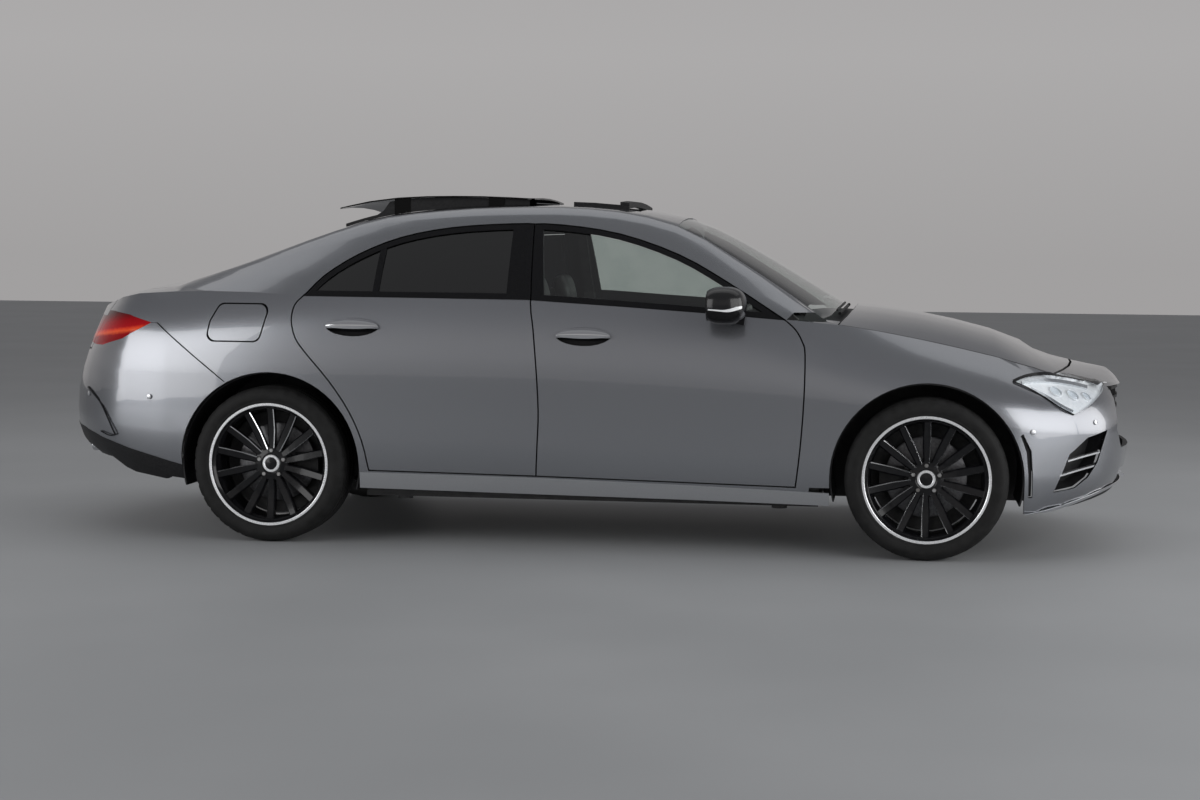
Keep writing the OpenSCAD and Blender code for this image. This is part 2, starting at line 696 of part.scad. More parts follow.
// Handles: a grip bar across an egg-shaped cup in the door
front_handle = [75, 882];
rear_handle = [-898, 908];
cup_in = 30;
handle_out = 13;
egg_line = [[-116, 2], [-88, 24], [-30, 37], [40, 37], [92, 24], [116, 2], [88, -22], [30, -37], [-40, -35], [-92, -20]];
module egg_shape(p, d = 0) {
    translate(at(p)) offset(delta = d) polygon([for (i = [0:9], k = [0, 1])
        bend(egg_line[(i + 9) % 10], egg_line[i], egg_line[(i + 1) % 10], egg_line[(i + 2) % 10], k / 2)]);
}
module body_layer(from, to) {
    difference() {
        lofted(moved_in(body_grid, from));
        lofted(moved_in(body_grid, to));
    }
}
module handle_cup(p) {
    intersection() {
        body_layer(-20, cup_in);
        across() egg_shape(p);
    }
}
module handle_at(p) {
    color([0.8, 0.8, 0.82]) pressed() {
        intersection() {
            body_layer(-handle_out, 2);
            across() intersection() {
                egg_shape(p, -eps);
                translate(at(p) + [-200, -4]) square([400, 100]);
            }
        }
        intersection() {
            body_layer(0, cup_in - eps);
            across() for (dx = [-84, 84]) translate(at(p) + [dx, 7]) circle(9, $fn = 16);
        }
    }
}
mirror_x = 672;
mirror_z = 1000;
module mirror_arm() {
    color(paint) pressed() difference() {
        union() {
            hull() {
                translate([X(mirror_x) - 28, -Y(935), Z(mirror_z) - 20]) scale([0.5, 0.5, 1]) sphere(62, $fn = 14);
                translate([X(mirror_x) - 45, -Y(1060), Z(mirror_z) - 5]) scale([0.5, 0.6, 1]) sphere(58, $fn = 14);
                translate([X(mirror_x) + 40, -Y(960), Z(mirror_z) - 15]) sphere(45, $fn = 14);
            }
            hull() {
                translate([X(mirror_x) + 20, -Y(840), Z(mirror_z) - 55]) cube([110, 40, 26], center = true);
                translate([X(mirror_x), -Y(950), Z(mirror_z) - 50]) cube([60, 40, 26], center = true);
            }
        }
        skin(-eps);
    }
}

// Wheels: axis along +Z here, outer face up
module tyre_body() {
    bead = rim_d / 2 + eps;
    half = [[bead - 18.5, rim_w / 2 - 14 - eps], [bead, rim_w / 2 - 9 - eps], [bead, rim_w / 2], [bead + 22, tyre_w / 2],
        [tyre_d / 2 - 22, tyre_w / 2 - 4], [tyre_d / 2 - 6, tyre_w / 2 - 16], [tyre_d / 2, tyre_w / 2 - 34]];
    color([0.04, 0.04, 0.04]) rotate_extrude($fn = 72)
        polygon(concat(half, reversed([for (p = half) [p[0], -p[1]]])));
}
spoke_w = 15;
disc_r = 165;
hub_r = 64;
module wheel_rim() {
    rim_r = rim_d / 2;
    rw = rim_w / 2;
    color([0.06, 0.06, 0.065]) {
        rotate_extrude($fn = 72) polygon([[rim_r - 12, -rw], [rim_r, -rw], [rim_r, -rw + 9], [rim_r - 18.5, -rw + 14],
            [rim_r - 28, -rw + 60], [rim_r - 28, rw - 50], [rim_r - 18.5, rw - 14], [rim_r, rw - 9], [rim_r, rw],
            [rim_r - 12, rw], [rim_r - 25, rw - 16], [rim_r - 34, rw - 46], [rim_r - 34, -rw + 60], [rim_r - 26, -rw + 16]]);
        for (i = [0:spokes - 1]) rotate(i * 360 / spokes + 4) rotate([90, 0, 0]) linear_extrude(spoke_w, center = true)
            polygon([[hub_r - 12, 36], [rim_r - 30, 58], [rim_r - 20.2, rw - 18], [rim_r - 40, rw - 26], [hub_r - 12, 57]]);
        difference() {
            union() {
                translate([0, 0, -66]) cylinder(r = hub_r, h = 128);
                translate([0, 0, -44]) cylinder(r = disc_r, h = 26);
            }
            translate([0, 0, -67]) cylinder(r = stub_r + run_clear, h = 100);
        }
    }
}
module on_axle(x, side) {
    translate([x, side * track / 2, hub_z]) rotate([-side * 90, 0, 0]) children();
}
king_in = 88;
king_r = 16;
// Steering knuckle: stub axle, upright, kingpin and caliper; wheel axis along +Z
module knuckle_body() {
    color([0.35, 0.35, 0.36]) {
        translate([0, 0, -90]) cylinder(r = stub_r, h = 118);
        translate([-32, -95, -king_in - 18]) cube([64, 190, 36]);
        translate([0, 0, -king_in]) rotate([90, 0, 0]) cylinder(r = king_r, h = 250, center = true);
        difference() {
            translate([-disc_r - 22, -45, -62]) cube([100, 90, 62]);
            translate([0, 0, -49]) cylinder(r = disc_r + 6, h = 36);
            translate([0, 0, -70]) cylinder(r = hub_r + 8, h = 90);
        }
        translate([-disc_r + 10, -40, -king_in - 18]) cube([disc_r, 80, 34]);
        translate([-disc_r + 10, -40, -king_in]) cube([72, 80, 28]);
    }
}
module rear_axle() {
    color([0.2, 0.2, 0.21]) {
        for (side = [-1, 1]) on_axle(rear_x, side) {
            translate([0, 0, -90]) cylinder(r = stub_r, h = 118);
            translate([-60, -60, -115]) cube([120, 120, 44]);
            difference() {
                translate([disc_r - 78, -45, -72]) cube([100, 90, 72]);
                translate([0, 0, -49]) cylinder(r = disc_r + 6, h = 36);
                translate([0, 0, -70]) cylinder(r = hub_r + 8, h = 90);
            }
            translate([0, -40, -115]) cube([disc_r, 80, 44]);
        }
        translate([rear_x - 45, -track / 2 + 75, hub_z - 75]) cube([90, track - 150, 60]);
        for (side = [-1, 1]) translate([rear_x - 40, side * Y(430) - 40, hub_z - 40]) cube([80, 80, Z(439.7) - hub_z + 40]);
    }
}
module front_subframe() {
    king_y = track / 2 - king_in;
    color([0.18, 0.18, 0.19]) {
        translate([front_x - 120, -Y(472), hub_z - 132]) cube([240, 2 * Y(472), 40]);
        for (side = [-1, 1]) {
            translate([front_x - 60, side * Y(450) - 20, hub_z - 100]) cube([120, 40, Z(379.7) - hub_z + 100]);
            difference() {
                for (arm = [[-125, 400], [97, 470.3]]) {
                    translate([front_x, side * king_y, hub_z + arm[0]]) cylinder(r = 30, h = 26);
                    translate([front_x - 28, side > 0 ? Y(arm[1]) : -king_y, hub_z + arm[0]])
                        cube([56, king_y - Y(arm[1]), 26]);
                }
                translate([front_x, side * king_y, hub_z]) cylinder(r = king_r + run_clear, h = 300, center = true);
            }
        }
    }
}
liner_drop = 100;
module arch_liner(x, side, from_y, to_y) {
    translate([x, side * from_y, hub_z]) rotate([-side * 90, 0, 0]) difference() {
        cylinder(r = arch_r - 1, h = to_y - from_y, $fn = 64);
        translate([0, 0, -1]) cylinder(r = arch_r - 7, h = to_y - from_y + 2, $fn = 64);
        translate([-500, side > 0 ? liner_drop : -500 - liner_drop, -1]) cube([1000, 500, to_y - from_y + 2]);
    }
}
module wheel_liners() {
    color(black) for (side = [-1, 1]) {
        arch_liner(front_x, side, Y(478), Y(872));
        arch_liner(rear_x, side, Y(520), Y(872));
    }
}

// Floor, bulkheads, inner aprons and boot floor
jack_x = [880, -700];
jack_y = 755;
module plate(x0, x1, y0, y1, z0, z1) {
    translate([X(x0), Y(y0), Z(z0)]) cube([X(x1) - X(x0), Y(y1) - Y(y0), Z(z1) - Z(z0)]);
}
module floor_pan() {
    color([0.12, 0.12, 0.13]) {
        difference() {
            union() {
                plate(-860, 1040, -790, 790, 196, 214);
                plate(-370, 1040, -150, 150, 210, 330);
                for (s = [-1, 1]) plate(-850, 1040, s > 0 ? 765 : -815, s > 0 ? 815 : -765, 212, 275);
                plate(1020, 1046, -700, 700, 210, 880);
            }
            for (x = [front_x, rear_x]) translate([x, 0, hub_z]) rotate([90, 0, 0]) cylinder(r = arch_r, h = 2 * body_w, center = true);
        }
        for (x = jack_x, s = [-1, 1]) translate([X(x), s * Y(jack_y), Z(184)]) cylinder(r = 32, h = 30);
    }
}
module boot_floor() {
    color([0.12, 0.12, 0.13]) {
        plate(-885, -860.3, -500, 500, 205, 460);
        plate(-1700, -870, -500, 500, 440, 462);
        plate(-2140, -1690, -600, 600, 440, 462);
        for (s = [-1, 1]) plate(-1700, -870, s > 0 ? 488 : -512, s > 0 ? 512 : -488, 440, 1000);
        plate(-1640, -1000, -500, 500, 985, 1003);
        plate(-2160, -2135, -560, 560, 440, 770);
    }
}
module front_rails() {
    color([0.12, 0.12, 0.13]) {
        for (s = [-1, 1]) plate(1046.3, 2150, s > 0 ? 430 : -470, s > 0 ? 470 : -430, 380, 520);
        for (s = [-1, 1]) plate(1046.3, 1900, s > 0 ? 452 : -474, s > 0 ? 474 : -452, 500, 760);
        plate(2120, 2160, -560, 560, 380, 590);
    }
}
module engine_block() {
    color([0.25, 0.25, 0.26]) translate([front_x - 294, -Y(375), hub_z - 92 + eps]) cube([720, Y(750), 520]);
}
module exhaust() {
    color([0.5, 0.5, 0.5]) {
        translate([X(-1980), 0, Z(345)]) rotate([90, 0, 0]) cylinder(r = 80, h = 900, center = true);
        for (s = [-1, 1]) translate([X(-1980), s * 380, Z(345)]) rotate([0, -90, 0]) cylinder(r = 32, h = X(-1980) - X(-2190));
        translate([X(-1980), 60, Z(345)]) rotate([0, 90, 0]) cylinder(r = 28, h = 380);
        for (y = [-300, 300]) translate([X(-1980) - 15, y - 15, Z(345)]) cube([30, 30, Z(439.7) - Z(345)]);
    }
}
seat_profile = [[-420, 330], [60, 380], [100, 430], [90, 470], [-330, 440], [-540, 1000], [-590, 1090], [-660, 1080], [-620, 960],
    [-450, 400]];
module seat_at(x, y, w) {
    translate([0, Y(y) + w / 2, 0]) rotate([90, 0, 0]) linear_extrude(w) polygon(outline([for (p = seat_profile) p + [x, 0]]));
}
module front_seats() {
    color([0.05, 0.05, 0.055]) for (s = [-1, 1]) {
        seat_at(390, s * 370, 480);
        plate(0, 420, s * 370 - 200, s * 370 + 200, 214.3, 345);
    }
}
module rear_bench() {
    color([0.05, 0.05, 0.055]) {
        translate([0, Y(480), 0]) rotate([90, 0, 0]) linear_extrude(Y(960))
            polygon(outline([[-845, 214], [-400, 214], [-380, 460], [-800, 440], [-960, 980], [-1060, 984], [-880, 464], [-846, 464]]));
    }
}
module dashboard() {
    color([0.05, 0.05, 0.055]) difference() {
        translate([0, Y(690), 0]) rotate([90, 0, 0]) linear_extrude(Y(1380))
            polygon(outline([[1019.7, 640], [1019.7, 900], [900, 940], [700, 930], [640, 860], [680, 700], [800, 640]]));
        on_column() translate([0, 0, -column_l - 6]) cylinder(r = column_r + 6, h = column_l);
    }
}
column_r = 20;
column_l = 150;
module on_column() {
    translate([X(wheel_at[0]), Y(wheel_at[1]), Z(wheel_at[2])]) rotate([0, -68, 0]) children();
}
wheel_at = [560, -370, 850];
module steering_wheel() {
    color(black) on_column() {
        rotate_extrude() translate([175, 0]) circle(15, $fn = 20);
        translate([0, 0, -30]) cylinder(r = 55, h = 36);
        for (a = [0, 180, 270]) rotate(a) translate([40, -18, -12]) cube([125, 36, 14]);
        translate([0, 0, -column_l]) cylinder(r = column_r, h = column_l - 10);
    }
}

module left() {
    mirror([0, 1, 0]) children();
}
floor_pan();
boot_floor();
front_rails();
body_side(true);  // body_side_right
left() body_side();  // body_side_left
roof_panel();
front_fenders();
front_bumper();
splitter();
grille();
rear_bumper();
rear_diffuser();
side_skirts();
windscreen();
rear_window();
sunroof_glass();
wind_deflector();
headlamps();
tail_lamps();
wheel_liners();
front_subframe();
rear_axle();
engine_block();
exhaust();
dashboard();
front_seats();
rear_bench();
hood();
trunk_lid();
lid_lamps();
fuel_flap();
front_door();  // front_door_right
left() front_door();  // front_door_left
rear_door();  // rear_door_right
left() rear_door();  // rear_door_left
front_glass();  // front_glass_right
left() front_glass();  // front_glass_left
rear_glass();  // rear_glass_right
left() rear_glass();  // rear_glass_left
mirror_arm();  // mirror_right
left() mirror_arm();  // mirror_left
handle_at(front_handle);  // front_handle_right
left() handle_at(front_handle);  // front_handle_left
handle_at(rear_handle);  // rear_handle_right
left() handle_at(rear_handle);  // rear_handle_left
steering_wheel();
on_axle(front_x, -1) knuckle_body();  // knuckle_right
on_axle(front_x, 1) knuckle_body();  // knuckle_left
on_axle(front_x, -1) wheel_rim();  // wheel_front_right
on_axle(front_x, 1) wheel_rim();  // wheel_front_left
on_axle(rear_x, -1) wheel_rim();  // wheel_rear_right
on_axle(rear_x, 1) wheel_rim();  // wheel_rear_left
on_axle(front_x, -1) tyre_body();  // tyre_front_right
on_axle(front_x, 1) tyre_body();  // tyre_front_left
on_axle(rear_x, -1) tyre_body();  // tyre_rear_right
on_axle(rear_x, 1) tyre_body();  // tyre_rear_left
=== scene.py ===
import math
import bmesh
import bpy
import numpy as np
from mathutils import Matrix, Vector
from mathutils.bvhtree import BVHTree
from mathutils.geometry import delaunay_2d_cdt


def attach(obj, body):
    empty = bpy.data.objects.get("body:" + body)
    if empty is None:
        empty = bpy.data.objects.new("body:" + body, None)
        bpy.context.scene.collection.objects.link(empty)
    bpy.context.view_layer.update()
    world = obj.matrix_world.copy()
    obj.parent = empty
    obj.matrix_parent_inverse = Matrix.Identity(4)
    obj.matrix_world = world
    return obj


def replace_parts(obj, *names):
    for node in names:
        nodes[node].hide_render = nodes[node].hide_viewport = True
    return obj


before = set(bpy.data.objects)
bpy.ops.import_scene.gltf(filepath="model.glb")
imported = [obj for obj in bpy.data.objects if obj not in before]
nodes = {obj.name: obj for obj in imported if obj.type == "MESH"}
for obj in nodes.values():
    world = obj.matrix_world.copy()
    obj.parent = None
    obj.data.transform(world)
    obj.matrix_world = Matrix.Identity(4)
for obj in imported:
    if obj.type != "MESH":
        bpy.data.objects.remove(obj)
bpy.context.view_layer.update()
MM = 0.001


# The body's surfaces, as in the part's source, in millimetres.
def spline(x, pts):
    x = np.asarray(x, float)
    px = np.array([p[0] for p in pts], float)
    py = np.array([p[1] for p in pts], float)
    n = len(px)
    m = np.array([(py[min(i + 1, n - 1)] - py[max(i - 1, 0)]) / (px[min(i + 1, n - 1)] - px[max(i - 1, 0)])
                  for i in range(n)])
    i = np.clip(np.searchsorted(px, x, side="right") - 1, 0, n - 2)
    h = px[i + 1] - px[i]
    t = (x - px[i]) / h
    return ((2 * t**3 - 3 * t**2 + 1) * py[i] + (t**3 - 2 * t**2 + t) * h * m[i]
            + (3 * t**2 - 2 * t**3) * py[i + 1] + (t**3 - t**2) * h * m[i + 1])


NOSE_FROM, TAIL_FROM, POWER, END = 1750.0, -1700.0, 2.3, 2344.0


def ease(t):
    c = np.clip(t, 0, 1)
    return c * c * (3 - 2 * c)


def rounded_end(d):
    d = np.clip(d, 0, 0.999)
    return (1 - d**POWER) ** (1 / POWER)


def plan(x):
    return (spline(x, [(-1900, 896), (-1255, 912), (-600, 906), (300, 903), (1000, 905), (1474, 908),
                       (1900, 896)])
            * rounded_end((x - NOSE_FROM) / (END - NOSE_FROM))
            * rounded_end((TAIL_FROM - x) / (END + TAIL_FROM)))


def lower_z(x):
    return spline(x, [(-2344, 370), (-2200, 345), (-1983, 290), (-1650, 240), (-1255, 235), (-860, 232),
                      (1075, 208), (1474, 200), (1850, 190), (2100, 215), (2344, 250)])


def upper_z(x):
    return spline(x, [(-2344, 965), (-2200, 985), (-1950, 1030), (-1600, 1050), (-1255, 1046), (-600, 1033),
                      (0, 1020), (500, 990), (900, 961), (1150, 937), (1474, 878), (1800, 805), (2050, 745),
                      (2344, 690)])


def crown(x):
    return spline(x, [(-2344, 45), (-1950, 50), (-1600, 55), (-1000, 20), (800, 30), (1043, 72), (1474, 100),
                      (1800, 96), (2050, 84), (2344, 60)])


def roll(x):
    return spline(x, [(-2344, .22), (-1800, .14), (-1255, .09), (-600, .06), (0, .055), (600, .06),
                      (950, .085), (1150, .13), (1474, .20), (1800, .22), (2344, .25)])


def tuck(x):
    return spline(x, [(-2344, .10), (-1255, .05), (0, .055), (1474, .05), (2344, .06)])


def sheared(x, z):
    nose = spline(z, [(150, -130), (230, -75), (300, -25), (450, 0), (600, -2), (700, -40), (760, -105),
                      (830, -230)])
    tail = spline(z, [(290, 130), (351, 40), (430, 5), (520, 0), (640, 10), (800, 58), (900, 88),
                      (1040, 115)])
    return x + nose * ease((x - 1800) / 500) + tail * ease((-1800 - x) / 500)


def side_width(x, v):
    low = tuck(x) * np.maximum(0, 1 - v / .28) ** 2
    high = roll(x) * np.maximum(0, (v - .55) / .45) ** 2.4
    return plan(x) * (1 - low - high)


def side_point(x, v):
    lo, hi = lower_z(x), upper_z(x)
    z = lo + (hi - lo) * v
    return np.stack([sheared(x, z), -side_width(x, v), z], -1)


def top_point(x, q):
    e = side_width(x, 1.0)
    z = upper_z(x) + crown(x) * (1 - q * q)
    return np.stack([sheared(x, z), e * q, z], -1)


def rail_z(x):
    return spline(x, [(-1950, 985), (-1750, 1072), (-1432, 1180), (-1075, 1308), (-854, 1370), (-548, 1405),
                      (-244, 1418), (13, 1416), (269, 1386), (481, 1322), (692, 1200), (903, 1066),
                      (1050, 965), (1300, 790)])


def rail_y(x):
    return spline(x, [(-1950, 600), (-1636, 605), (-1075, 595), (-548, 605), (0, 608), (481, 625), (903, 700),
                      (1050, 735), (1300, 780)])


def spine_z(x):
    return spline(x, [(-1950, 1000), (-1741, 1096), (-1432, 1216), (-1075, 1342), (-854, 1396), (-548, 1428),
                      (-244, 1440), (13, 1440), (269, 1420), (481, 1372), (692, 1272), (903, 1150),
                      (1050, 1062), (1200, 975), (1300, 915)])


def cabin_keys(x):
    rz, ry, w = rail_z(x), rail_y(x), side_width(x, 1.0) - 10
    base, sz = np.minimum(upper_z(x), rz - 40), spine_z(x)
    rows = [(-(w + (ry - w) * t + 56 * t * (1 - t)), base + (rz - base) * t) for t in (0, .3, .55, .76, .9)]
    rows.append((-ry * .985, rz - 4))
    rows += [(-ry * q, rz + (sz - rz) * (1 - q * q)) for q in (.88, .62, .32, 0, -.32)]
    return np.stack([np.stack([x, a, b], -1) for a, b in rows], 1)


def blend(a, b, c, d, n):
    """n points of a smooth curve from b up to c, with a and d as its neighbours."""
    return [.5 * (2 * b + (c - a) * t + (2 * a - 5 * b + 4 * c - d) * t**2 + (3 * b - a - 3 * c + d) * t**3)
            for t in (k / n for k in range(n))]


def catmull(keys, n):
    out = []
    m = keys.shape[1]
    for i in range(m - 2):
        out += blend(keys[:, max(i - 1, 0)], keys[:, i], keys[:, i + 1], keys[:, min(i + 2, m - 1)], n)
    out.append(keys[:, m - 2])
    return np.stack(out, 1)


def station_list(n_mid=230, n_end=46):
    a = np.radians(np.linspace(2, 87.5, n_end))
    tail = TAIL_FROM - (END + TAIL_FROM) * np.sin(a) ** (2 / POWER)
    nose = NOSE_FROM + (END - NOSE_FROM) * np.sin(a) ** (2 / POWER)
    return np.concatenate([tail[::-1], np.linspace(TAIL_FROM, NOSE_FROM, n_mid), nose])


class Surface:
    """A dense grid of points with smooth normals that other meshes can ask for."""

    def __init__(self, pts, outward):
        du = np.gradient(pts, axis=0)
        dv = np.gradient(pts, axis=1)
        n = np.cross(du, dv)
        n /= np.maximum(np.linalg.norm(n, axis=2, keepdims=True), 1e-9)
        if np.sum(n * outward) < 0:
            n = -n
        self.p, self.n = pts, n
        r, c = pts.shape[:2]
        self.c = c
        idx = np.arange(r * c).reshape(r, c)
        quads = np.stack([idx[:-1, :-1], idx[1:, :-1], idx[1:, 1:], idx[:-1, 1:]], -1).reshape(-1, 4)
        self.tree = BVHTree.FromPolygons(pts.reshape(-1, 3).tolist(), quads.tolist())

    def near(self, p):
        loc, _, i, d = self.tree.find_nearest(p)
        if loc is None:
            return None, 1e9
        r, c = divmod(i, self.c - 1)
        P = self.p
        a, b, e = P[r, c], P[r + 1, c], P[r, c + 1]
        loc = np.array(loc)
        s = np.clip(np.dot(loc - a, b - a) / max(np.dot(b - a, b - a), 1e-9), 0, 1)
        t = np.clip(np.dot(loc - a, e - a) / max(np.dot(e - a, e - a), 1e-9), 0, 1)
        N = self.n
        n = ((1 - s) * (1 - t) * N[r, c] + s * (1 - t) * N[r + 1, c] + (1 - s) * t * N[r, c + 1]
             + s * t * N[r + 1, c + 1])
        return n / np.linalg.norm(n), d


def flipped(pts):
    out = pts.copy()
    out[..., 1] *= -1
    return out


xs = station_list()
vs = np.linspace(0, 1, 70)
right = side_point(xs[:, None], vs[None, :])
qs = np.linspace(-1, 1, 61)
top = top_point(xs[:, None], qs[None, :] * np.ones_like(xs)[:, None])
cx = np.linspace(-1930, 1290, 240)
cab = catmull(cabin_keys(cx), 6)
SURFACES = [Surface(right, np.array([0, -1, 0])), Surface(flipped(right), np.array([0, 1, 0])),
            Surface(top, np.array([0, 0, 1])), Surface(cab, np.array([0, -.5, .5])),
            Surface(flipped(cab), np.array([0, .5, .5]))]


BACK_REACH = 22.0   # how far beyond reach a panel's back may lie, mm
FACING_GAIN = 6.0   # how many mm of distance a well-matched direction is worth


def smooth_panel(name, reach=12.0, agree=0.8, inner=None):
    """Shade a panel with the true surface's normals; cut edges stay sharp. inner is its back's material."""
    me = nodes[name].data
    nv, nl = len(me.vertices), len(me.loops)
    co = np.zeros(nv * 3)
    me.vertices.foreach_get("co", co)
    co = co.reshape(-1, 3) * 1000
    found = [[s.near(p) for s in SURFACES] for p in co]
    normals = np.zeros((nl, 3))
    back = np.zeros(len(me.polygons), int)
    for poly in me.polygons:
        pn = np.array(poly.normal)
        outside = 0
        for li in poly.loop_indices:
            best, bn, out = None, pn, 0
            for n, d in found[me.loops[li].vertex_index]:
                if n is None or d > reach + BACK_REACH:
                    continue
                dot = float(n @ pn)
                cost = d - FACING_GAIN * abs(dot)
                if abs(dot) > agree and (best is None or cost < best):
                    best, bn, out = cost, n * np.sign(dot), int(dot > 0 and d < reach)
            normals[li] = bn
            outside += out
        back[poly.index] = 0 if outside else 1
    me.shade_smooth()
    me.normals_split_custom_set(normals.tolist())
    if inner:
        me.materials.append(M[inner])
        me.polygons.foreach_set("material_index", back)


# Materials.
def new_mat(name):
    m = bpy.data.materials.new(name)
    m.use_nodes = True
    nt = m.node_tree
    nt.nodes.clear()
    return m, nt


def add(nt, kind, **props):
    n = nt.nodes.new(kind)
    for k, v in props.items():
        setattr(n, k, v)
    return n


def fill_ramp(node, stops):
    """Sets a colour ramp to its (position, colour) stops."""
    els = node.color_ramp.elements
    while len(els) < len(stops):
        els.new(.5)
    for e, (q, c) in zip(els, stops):
        e.position, e.color = q, c


def noise_color(nt, a, b, scale, detail=3.0, lo=.35, hi=.65):
    tc = add(nt, "ShaderNodeTexCoord")
    no = add(nt, "ShaderNodeTexNoise")
    no.inputs["Scale"].default_value = scale
    no.inputs["Detail"].default_value = detail
    rp = add(nt, "ShaderNodeValToRGB")
    rp.color_ramp.elements[0].position, rp.color_ramp.elements[1].position = lo, hi
    rp.color_ramp.elements[0].color, rp.color_ramp.elements[1].color = (*a, 1), (*b, 1)
    nt.links.new(tc.outputs["Object"], no.inputs["Vector"])
    nt.links.new(no.outputs["Fac"], rp.inputs["Fac"])
    return rp.outputs["Color"], no.outputs["Fac"], tc


def surface_mat(name, a, b, scale=60., rough=(.35, .45), metal=0., coat=0., bump=0., bump_scale=None,
                ior=1.5):
    m, nt = new_mat(name)
    col, fac, tc = noise_color(nt, a, b, scale)
    bs = add(nt, "ShaderNodeBsdfPrincipled")
    mr = add(nt, "ShaderNodeMapRange")
    mr.inputs["To Min"].default_value, mr.inputs["To Max"].default_value = rough
    nt.links.new(fac, mr.inputs["Value"])
    nt.links.new(col, bs.inputs["Base Color"])
    nt.links.new(mr.outputs["Result"], bs.inputs["Roughness"])
    bs.inputs["Metallic"].default_value = metal
    bs.inputs["Coat Weight"].default_value = coat
    bs.inputs["Coat Roughness"].default_value = .03
    bs.inputs["IOR"].default_value = ior
    if bump:
        no = add(nt, "ShaderNodeTexNoise")
        no.inputs["Scale"].default_value = bump_scale or scale * 6
        bp = add(nt, "ShaderNodeBump")
        bp.inputs["Strength"].default_value = bump
        bp.inputs["Distance"].default_value = .0006
        nt.links.new(tc.outputs["Object"], no.inputs["Vector"])
        nt.links.new(no.outputs["Fac"], bp.inputs["Height"])
        nt.links.new(bp.outputs["Normal"], bs.inputs["Normal"])
    out = add(nt, "ShaderNodeOutputMaterial")
    nt.links.new(bs.outputs["BSDF"], out.inputs["Surface"])
    return m


def paint_nodes(nt):
    """Clear-coated metallic grey that darkens towards grazing view; returns its shader socket."""
    col, _, tc = noise_color(nt, (.25, .26, .28), (.31, .32, .345), 900., 2.0, .3, .7)
    lw = add(nt, "ShaderNodeLayerWeight")
    lw.inputs["Blend"].default_value = .35
    mx = add(nt, "ShaderNodeMix", data_type="RGBA")
    nt.links.new(lw.outputs["Facing"], mx.inputs["Factor"])
    nt.links.new(col, mx.inputs["A"])
    mx.inputs["B"].default_value = (.12, .125, .14, 1)
    bs = add(nt, "ShaderNodeBsdfPrincipled")
    nt.links.new(mx.outputs["Result"], bs.inputs["Base Color"])
    bs.inputs["Metallic"].default_value = .8
    bs.inputs["Roughness"].default_value = .25
    bs.inputs["Coat Weight"].default_value = 1.0
    bs.inputs["Coat Roughness"].default_value = .02
    return bs.outputs["BSDF"], tc


def paint_mat(name, black_above=None):
    """Body paint; black_above is a list of (x, z) metres: gloss black above that line."""
    m, nt = new_mat(name)
    sh, tc = paint_nodes(nt)
    out = add(nt, "ShaderNodeOutputMaterial")
    if black_above:
        col = noise_color(nt, (.006, .006, .007), (.012, .012, .013), 300.)[0]
        bk = add(nt, "ShaderNodeBsdfPrincipled")
        nt.links.new(col, bk.inputs["Base Color"])
        bk.inputs["Roughness"].default_value = .12
        bk.inputs["IOR"].default_value = 1.25
        sep = add(nt, "ShaderNodeSeparateXYZ")
        nt.links.new(tc.outputs["Object"], sep.inputs["Vector"])
        x0, x1 = black_above[0][0], black_above[-1][0]
        mr = add(nt, "ShaderNodeMapRange")
        mr.inputs["From Min"].default_value, mr.inputs["From Max"].default_value = x0, x1
        nt.links.new(sep.outputs["X"], mr.inputs["Value"])
        rp = add(nt, "ShaderNodeValToRGB")
        fill_ramp(rp, [((x - x0) / (x1 - x0), (z / 2, z / 2, z / 2, 1)) for x, z in black_above])
        nt.links.new(mr.outputs["Result"], rp.inputs["Fac"])
        half = add(nt, "ShaderNodeMath", operation="MULTIPLY")
        half.inputs[1].default_value = .5
        nt.links.new(sep.outputs["Z"], half.inputs[0])
        gt = add(nt, "ShaderNodeMath", operation="GREATER_THAN")
        nt.links.new(half.outputs[0], gt.inputs[0])
        nt.links.new(rp.outputs["Color"], gt.inputs[1])
        ms = add(nt, "ShaderNodeMixShader")
        nt.links.new(gt.outputs[0], ms.inputs["Fac"])
        nt.links.new(sh, ms.inputs[1])
        nt.links.new(bk.outputs["BSDF"], ms.inputs[2])
        sh = ms.outputs["Shader"]
    nt.links.new(sh, out.inputs["Surface"])
    return m


def glass_mat(name, tint_a, tint_b, ior=1.5):
    m, nt = new_mat(name)
    col = noise_color(nt, tint_a, tint_b, 8.)[0]
    tr = add(nt, "ShaderNodeBsdfTransparent")
    gl = add(nt, "ShaderNodeBsdfGlossy")
    gl.inputs["Roughness"].default_value = .01
    gl.inputs["Color"].default_value = (1, 1, 1, 1)
    fr = add(nt, "ShaderNodeFresnel")
    fr.inputs["IOR"].default_value = ior
    geo = add(nt, "ShaderNodeNewGeometry")
    inv = add(nt, "ShaderNodeMath", operation="SUBTRACT")
    inv.inputs[0].default_value = 1.0
    nt.links.new(geo.outputs["Backfacing"], inv.inputs[1])
    only = add(nt, "ShaderNodeMath", operation="MULTIPLY")
    nt.links.new(fr.outputs["Fac"], only.inputs[0])
    nt.links.new(inv.outputs["Value"], only.inputs[1])
    ms = add(nt, "ShaderNodeMixShader")
    out = add(nt, "ShaderNodeOutputMaterial")
    nt.links.new(col, tr.inputs["Color"])
    nt.links.new(only.outputs["Value"], ms.inputs["Fac"])
    nt.links.new(tr.outputs["BSDF"], ms.inputs[1])
    nt.links.new(gl.outputs["BSDF"], ms.inputs[2])
    nt.links.new(ms.outputs["Shader"], out.inputs["Surface"])
    return m


